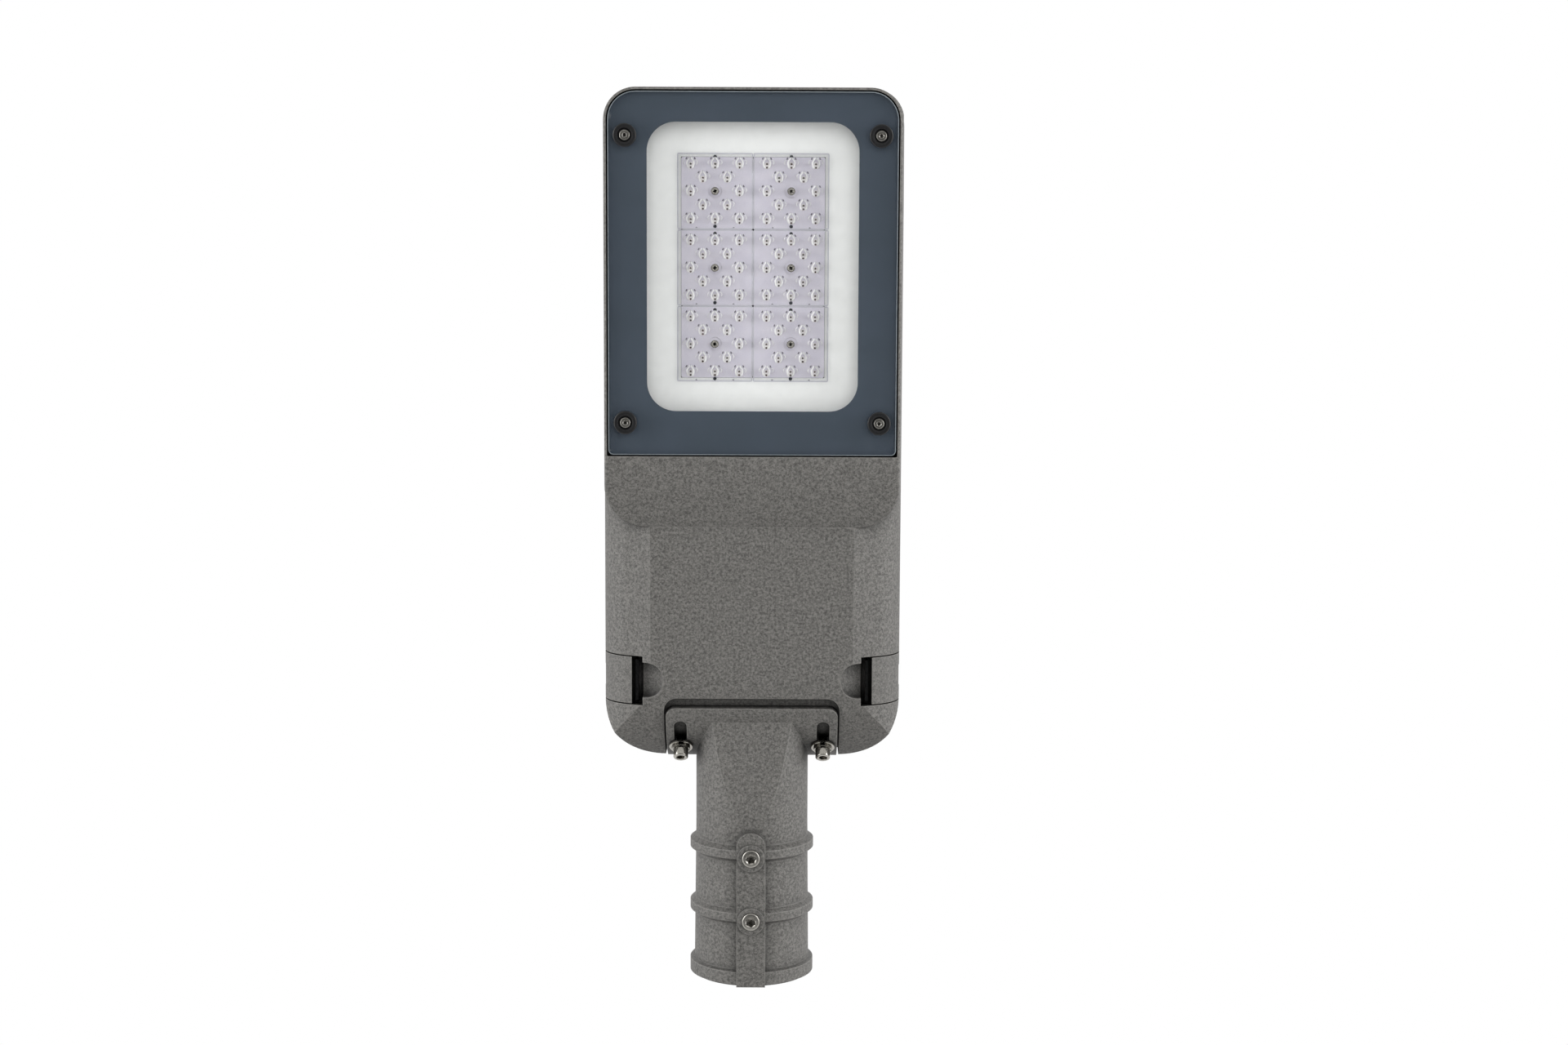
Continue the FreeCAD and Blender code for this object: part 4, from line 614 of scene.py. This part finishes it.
def buildChips():
    chips, contacts, pegs, marks = [bmesh.new() for _ in range(4)]
    base, top, edge = chip["base"], chip["base"] - chip["height"], chip["edge"]
    outline = roundedBox(chip["halfX"], chip["front"], chip["back"], chip["corner"], chip["corner"], steps=3)
    small = roundedBox(chip["halfX"] - edge, chip["front"] + edge, chip["back"] - edge,
                       chip["edgeCorner"], chip["edgeCorner"], steps=3)
    oval = circle(0, 0, 1, steps=16)
    thin = mark["thickness"]
    for centreX, centreY in moduleCentres:
        for spotX, spotY in lensSpots():
            x, y = centreX + spotX, centreY + spotY
            plateMesh(chips, [(movedTo(small, x, y), top), (movedTo(outline, x, y), top + chip["edgeHeight"]),
                              (movedTo(outline, x, y), base)])
            for away in chip["contacts"]:
                dot = [(x + chip["contactX"] * a, y + away + chip["contactY"] * b) for a, b in oval]
                plateMesh(contacts, [(dot, top - chip["contactHeight"]), (dot, top)])
            # grey spots of painted shade beside the lens
            for side in (-1, 1):
                spot = shoulderShadeSpot(x + side * mark["awayX"], y + mark["awayY"], side)
                plateMesh(marks, [(spot, base - thin), (spot, base)])
        # printed ring around the boss, black pegs of painted shade for the dark holes at both ends, and gate marks
        # near two corners
        ringOut, ringIn = [circle(centreX, centreY, radius, steps=32)
                           for radius in (mark["ring"], mark["ring"] - mark["ringWide"])]
        plateMesh(marks, [(ringOut, base - thin), (ringOut, base)], [ringIn])
        for side, away in ((-1, -peg["front"]), (1, peg["back"])):
            lowRing = circle(centreX, centreY + away, peg["radius"] - peg["edge"], steps=20)
            ring = circle(centreX, centreY + away, peg["radius"], steps=20)
            plateMesh(pegs, [(lowRing, base - peg["drop"]), (ring, base - peg["drop"] + peg["edge"]),
                             (ring, base + peg["root"])])
            gate = circle(centreX + side * mark["gateX"], centreY + mark["gateY"], mark["gateRadius"], steps=12)
            plateMesh(marks, [(gate, base - thin), (gate, base)])
    addPiece("chipBodies", chips, "head", chipBody, ["leds"])
    addPiece("chipContacts", contacts, "head", chipDots)
    addPiece("boardHoleShade", pegs, "head", paintedHoleShade)
    addPiece("boardPrintAndPaintedShade", marks, "head", printAndShadeGrey)


board = {"gap": 0.05, "corner": 1.2, "edge": 0.1, "seamNear": 1.0}


def buildBoards():
    # six boards that all but touch, so that no dark line shows between them
    bm = bmesh.new()
    for number, (centreX, centreY) in enumerate(moduleCentres, 1):
        low, high = boxInMm("led_board_%d" % number)
        side, reach = math.copysign(1, centreX), sheet["pitch"] / 2
        seamFront, seamBack = centreY - reach + board["gap"], centreY + reach - board["gap"]
        front, back = max(low.y, seamFront), min(high.y, seamBack)
        # the CAD leaves a wider gap, so an edge close to the seam is carried up to it
        if abs(low.y - centreY) > reach - board["seamNear"]:
            front = seamFront
        if abs(high.y - centreY) > reach - board["seamNear"]:
            back = seamBack
        farX = max(abs(low.x), abs(high.x))
        middle, half = side * (farX + board["gap"]) / 2, (farX - board["gap"]) / 2

        def outline(inset):
            corner = board["corner"] - inset
            return movedTo(roundedBox(half - inset, front + inset, back - inset, corner, corner, steps=4), middle, 0)
        plateMesh(bm, [(outline(board["edge"]), low.z), (outline(0), low.z + board["edge"]), (outline(0), high.z)])
    addPiece("ledBoards", bm, "head", solderMask, ["led_board_%d" % number for number in range(1, 7)])


buildChips()
buildBoards()
print("chips and boards made")

screw = {"headRadius": 2.6, "headHeight": 1.5, "cross": 2.2, "armShare": 0.16, "crossDepth": 1.3,
         "crossFloor": 0.8, "skirt": 0.3,
         "dome": ((0.97, 0.5), (0.9, 0.67), (0.8, 0.82), (0.68, 0.93), (0.56, 1.0)),
         "shank": 1.5, "length": 5.0, "spin": 20, "spinStep": 37}
# shares of a socket screw's own sizes, with the lead-in of the socket in mm
socket = {"tip": 0.8, "taper": 0.3, "rim": 0.6, "edge": 0.14, "leadIn": 0.15, "hexDrop": 0.3,
          "floor": 0.2, "cone": 0.1}
downward = Vector((0, 0, -1))


def socketScrew(bm, place, look):
    # socket cap screw with its seat at 0 and its head above
    radius, height, key, shank = look["head"], look["height"], look["key"], look["shank"]
    depth, length = look["keyDepth"], look["length"]
    rim, edge, leadIn = key * socket["rim"], radius * socket["edge"], socket["leadIn"]
    rings = [(roundRadius, shank * socket["tip"], -length), (roundRadius, shank, -length + shank * socket["taper"]),
             (roundRadius, shank, 0), (roundRadius, radius, 0)]
    rings += roundedCorner(height, radius, edge, steps=4)
    rings += [(roundRadius, rim + leadIn, height), (roundRadius, rim, height - leadIn),
              (hexRadius, key, height - socket["hexDrop"]), (hexRadius, key, height - depth),
              (roundRadius, key * socket["floor"], height - depth - key * socket["cone"])]
    turned(bm, rings, place)


def crossRadius(turn, size):
    # recess of a cross-head screw: two bars, each twice the arm's share of the size wide
    arm, half = size / 2, size * screw["armShare"]
    across, along = abs(math.cos(turn)) + 1e-9, abs(math.sin(turn)) + 1e-9
    return max(min(arm / across, half / along), min(half / across, arm / along))


def buildLensScrews():
    bm = bmesh.new()
    seat = sheet["low"] - sheet["seatHeight"]
    height, radius = screw["headHeight"], screw["headRadius"]
    for number, (x, y) in enumerate(moduleCentres):
        rings = [(roundRadius, screw["shank"], -screw["length"]), (roundRadius, screw["shank"], 0),
                 (roundRadius, radius, 0), (roundRadius, radius, height * screw["skirt"])]
        rings += [(roundRadius, radius * size, height * rise) for size, rise in screw["dome"]]
        rings += [(crossRadius, screw["cross"], height),
                  (crossRadius, screw["cross"] * screw["crossFloor"], height - screw["crossDepth"])]
        spin = screw["spin"] + screw["spinStep"] * number
        turned(bm, rings, aimed(Vector((x, y, seat)) * mm, downward, spin))
    addPiece("lensScrews", bm, "head", washedSteel, ["lens_screws"])


def buildClips():
    caps, screws = bmesh.new(), bmesh.new()
    radius, height = clipCap["radius"], clipCap["height"]
    recess, depth, lipEdge = clipCap["recessRadius"], clipCap["recessDepth"], clipCap["lipEdge"]
    for number, (x, y) in enumerate(clipPlaces):
        place = aimed(Vector((x, y, glassLow.z)) * mm, downward, clipCap["spin"] * number)
        rings = [(roundRadius, clipCap["hole"], 0), (roundRadius, radius, 0)]
        rings += roundedCorner(height, radius, clipCap["edge"])
        rings += [(roundRadius, recess + clipCap["lip"], height), (roundRadius, recess + lipEdge, height - lipEdge),
                  (roundRadius, recess, height - clipCap["lipDrop"]), (roundRadius, recess, height - depth),
                  (roundRadius, clipCap["hole"], height - depth)]
        turned(caps, rings, place, bored=True)
        seat = Vector((x, y, glassLow.z - height + depth)) * mm
        socketScrew(screws, aimed(seat, downward, clipCap["screwSpin"] * number), clipScrew)
    addPiece("glassClipCaps", caps, "head", blackNylon, ["glass_clips"])
    addPiece("glassClipScrews", screws, "head", satinSteel, ["glass_screws"])


buildLensScrews()
buildClips()
print("small screws and caps made")

tiltJoint = next(joint for joint in frame["joints"] if joint["name"] == "tilt")
arcCentre = Vector(tiltJoint["pos_m"])
boltSet = {"x": 48.2, "angle": 50.5, "flange": 58.0, "gap": 0.3, "washer": 1.6, "spring": 1.8,
           "washerRadius": 8.0, "washerEdge": 0.25, "washerPlay": 0.2, "spin": 15}
tiltBolt = {"head": 5.0, "height": 6.0, "key": 5.0, "keyDepth": 3.0, "shank": 3.0, "length": 22.0}


def buildTiltBolts():
    turn = math.radians(boltSet["angle"])
    axis = Vector((0, math.sin(turn), -math.cos(turn)))
    bolts, washers = bmesh.new(), bmesh.new()
    for side in (-1, 1):
        start = boltSet["flange"] + boltSet["gap"]
        foot = arcCentre + Vector((side * boltSet["x"], 0, 0)) * mm
        flat = aimed(foot + axis * start * mm, axis)
        edge = boltSet["washerEdge"]
        outer, inner, thick = boltSet["washerRadius"], tiltBolt["shank"] + boltSet["washerPlay"], boltSet["washer"]
        turned(washers, [(roundRadius, inner, 0), (roundRadius, outer - edge, 0), (roundRadius, outer, edge),
                         (roundRadius, outer, thick - edge), (roundRadius, outer - edge, thick),
                         (roundRadius, inner + edge, thick), (roundRadius, inner, thick - edge)],
               flat, steps=64, bored=True)
        seat = start + boltSet["washer"] + boltSet["spring"]
        socketScrew(bolts, aimed(foot + axis * seat * mm, axis, boltSet["spin"]), tiltBolt)
    addPiece("tiltBolts", bolts, "head", stainless, ["tilt_bolts"])
    addPiece("tiltWashers", washers, "head", stainless, ["tilt_washers"])


buildTiltBolts()

poleLow, poleHigh = boxInMm("pole_screws")
poleScrew = {"radius": 6.0, "edge": 0.9, "key": 6.0, "depth": 5.0, "tip": 0.6, "taper": 0.35, "rimOut": 0.62,
             "rimIn": 0.59, "rimDrop": 0.2, "hexDrop": 0.6, "floor": 0.25, "cone": 0.5, "spin": 10, "spinStep": 25}


def buildPoleScrews():
    bm = bmesh.new()
    radius, key, edge = poleScrew["radius"], poleScrew["key"], poleScrew["edge"]
    length = poleHigh.z - poleLow.z
    floor = length - poleScrew["depth"]
    for number, y in enumerate((poleLow.y + radius, poleHigh.y - radius)):
        spin = poleScrew["spin"] + poleScrew["spinStep"] * number
        place = aimed(Vector((0, y, poleHigh.z)) * mm, downward, spin)
        rings = [(roundRadius, radius * poleScrew["tip"], 0), (roundRadius, radius, radius * poleScrew["taper"])]
        rings += roundedCorner(length, radius, edge, steps=4)
        rings += [(roundRadius, key * poleScrew["rimOut"], length),
                  (roundRadius, key * poleScrew["rimIn"], length - poleScrew["rimDrop"]),
                  (hexRadius, key, length - poleScrew["hexDrop"]), (hexRadius, key, floor),
                  (roundRadius, key * poleScrew["floor"], floor - poleScrew["cone"])]
        turned(bm, rings, place)
    addPiece("poleScrews", bm, "spigot", satinSteel, ["pole_screws"])


buildPoleScrews()
print("bolts and pole screws made")

finishes = {
    coatOnCasting: ["housing", "top_cover", "spigot_bracket"],
    coatOnLever: ["latch_left", "latch_right"],
    blackSilicone: ["glass_gasket", "cover_seal", "cable_grommet"],
    blackSheath: ["led_lead"],
    blackNylon: ["cable_clamp", "lead_gland"],
    whiteSheet: ["reflector_plate"],
    drawnAluminium: ["driver"],
    surgeShell: ["surge_protector"],
    paleNylon: ["terminal_block"],
    springWire: ["bail_left", "bail_right", "keepers"],
    darkStrip: ["latch_clips"],
    stainless: ["driver_screws", "clamp_screws", "earth_screw", "tilt_spring_washers", "latch_pins",
                "hinge_pins", "bail_pin_left", "bail_pin_right"],
}
for finish, names in finishes.items():
    for name in names:
        data = frame["nodes"][name].data
        data.materials.clear()
        data.materials.append(finish)
print("CAD nodes finished")

# two lamps beside the head, one above and beyond its tip and one below it, in metres and watts
studio = {"soft": 0.42, "aim": (0, -0.32, 0),
          "sideAway": 1.75, "sideY": -0.55, "sideZ": -0.32, "sideSize": 1.5, "sidePower": 29.0,
          "topSpot": (0, -1.6, 1.4), "topSize": 1.4, "topPower": 11.0,
          "frontSpot": (0.25, -0.95, -1.95), "frontSize": 1.8, "frontPower": 21.5,
          "floorZ": -2.5, "floorHalf": 14.0, "floor": "#EDEDEB", "floorGlow": 0.5}
# black cards that only the glass and the steel can see: centre, then the two half sides, in metres
cards = {
    "cardBehindCamera": ((0.02, -0.45, -1.75), (1.0, 0, 0), (0, 1.15, 0)),
    "cardForInside": ((-0.02, -0.46, -1.7), (0.24, 0, 0), (0, 0.28, 0)),
    "cardLeft": ((-1.2, -0.2, -0.05), (0, 0.5, 0), (0, 0, 0.25)),
    "cardRight": ((1.2, -0.2, -0.05), (0, 0.5, 0), (0, 0, 0.25)),
}


def addLamp(name, spot, target, size, power):
    light = bpy.data.lights.new(name, "AREA")
    light.shape = "SQUARE"
    light.size = size
    light.energy = power
    lamp = bpy.data.objects.new(name, light)
    bpy.context.scene.collection.objects.link(lamp)
    # its light comes through the glass as a shadow ray, so it is not to count twice
    lamp.visible_transmission = False
    lamp.matrix_world = Matrix.Translation(spot) @ (target - spot).to_track_quat("-Z", "Y").to_matrix().to_4x4()
    return lamp


def seenDirectly(tree):
    # 1 for what the camera sees itself, in metal or through glass, and 0 for light on the object
    rays = addNode(tree, "LightPath")
    seen = addNode(tree, "Math", {"operation": "MAXIMUM"},
                   {0: rays.outputs["Is Camera Ray"], 1: rays.outputs["Is Glossy Ray"]})
    return addNode(tree, "Math", {"operation": "MAXIMUM"},
                   {0: seen.outputs[0], 1: rays.outputs["Is Transmission Ray"]}).outputs[0]


def addPanel(name, centre, sideA, sideB, colour, glow=0.0):
    middle, across, along = Vector(centre), Vector(sideA), Vector(sideB)
    mesh = bpy.data.meshes.new(name)
    mesh.from_pydata([middle - across - along, middle + across - along, middle + across + along,
                      middle - across + along], [], [(0, 1, 2, 3)])
    panel = bpy.data.objects.new(name, mesh)
    bpy.context.scene.collection.objects.link(panel)
    material, tree = newTree(name + "Paint")
    paint = addNode(tree, "BsdfDiffuse", {"Color": linear(colour)})
    if glow:
        share = addNode(tree, "Math", {"operation": "MULTIPLY", 1: glow}, {0: seenDirectly(tree)})
        pale = addNode(tree, "Emission", {"Color": linear(colour)}, {"Strength": share.outputs[0]})
        paint = addNode(tree, "AddShader", None, {0: paint.outputs[0], 1: pale.outputs[0]})
    closeTree(tree, paint)
    mesh.materials.append(material)
    return panel


def buildStudio():
    world = bpy.data.worlds.new("studio")
    world.use_nodes = True
    tree = world.node_tree
    tree.nodes.clear()
    soft = addNode(tree, "Background", {"Color": linear("#FFFFFF"), "Strength": studio["soft"]})
    plain = addNode(tree, "Background", {"Color": linear("#FFFFFF"), "Strength": 1.0})
    both = addNode(tree, "MixShader", None, {0: seenDirectly(tree), 1: soft.outputs[0], 2: plain.outputs[0]})
    addNode(tree, "OutputWorld", None, {"Surface": both.outputs[0]})
    bpy.context.scene.world = world
    aim = Vector(studio["aim"])
    for name, side in (("lampLeft", -1), ("lampRight", 1)):
        spot = Vector((side * studio["sideAway"], studio["sideY"], studio["sideZ"]))
        addLamp(name, spot, aim, studio["sideSize"], studio["sidePower"])
    addLamp("lampTop", Vector(studio["topSpot"]), aim, studio["topSize"], studio["topPower"])
    front = addLamp("lampFront", Vector(studio["frontSpot"]), aim, studio["frontSize"], studio["frontPower"])
    front.visible_glossy = False
    half = studio["floorHalf"]
    addPanel("floor", (0, 0, studio["floorZ"]), (half, 0, 0), (0, half, 0), studio["floor"], studio["floorGlow"])
    for name, (centre, sideA, sideB) in cards.items():
        card = addPanel(name, centre, sideA, sideB, "#000000")
        card.visible_camera = card.visible_diffuse = card.visible_shadow = False
        card.visible_transmission = name == "cardForInside"
    bpy.context.scene.view_settings.view_transform = "Standard"


# focal length and frame in pixels of the photo, sensor and place in mm, angles in degrees
view = {"focal": 3000, "frameWidth": 1920, "sensor": 36.0, "tilt": 6.758, "roll": 0.26,
        "x": 21.17, "y": -507.4, "z": -1650.8}


def placeCamera():
    data = bpy.data.cameras.new("viewCamera")
    data.sensor_width = view["sensor"]
    data.lens = view["sensor"] * view["focal"] / view["frameWidth"]
    camera = bpy.data.objects.new("viewCamera", data)
    bpy.context.scene.collection.objects.link(camera)
    tilt = math.radians(view["tilt"])
    # columns: picture right, picture up, and away from what the camera looks at
    axes = Matrix(((1, 0, 0), (0, -math.cos(tilt), -math.sin(tilt)), (0, math.sin(tilt), -math.cos(tilt))))
    spot = Vector((view["x"], view["y"], view["z"])) * mm
    camera.matrix_world = (Matrix.Translation(spot) @ axes.to_4x4()
                           @ Matrix.Rotation(math.radians(view["roll"]), 4, "Z"))
    bpy.context.scene.camera = camera


buildStudio()
placeCamera()
print("studio and camera set")
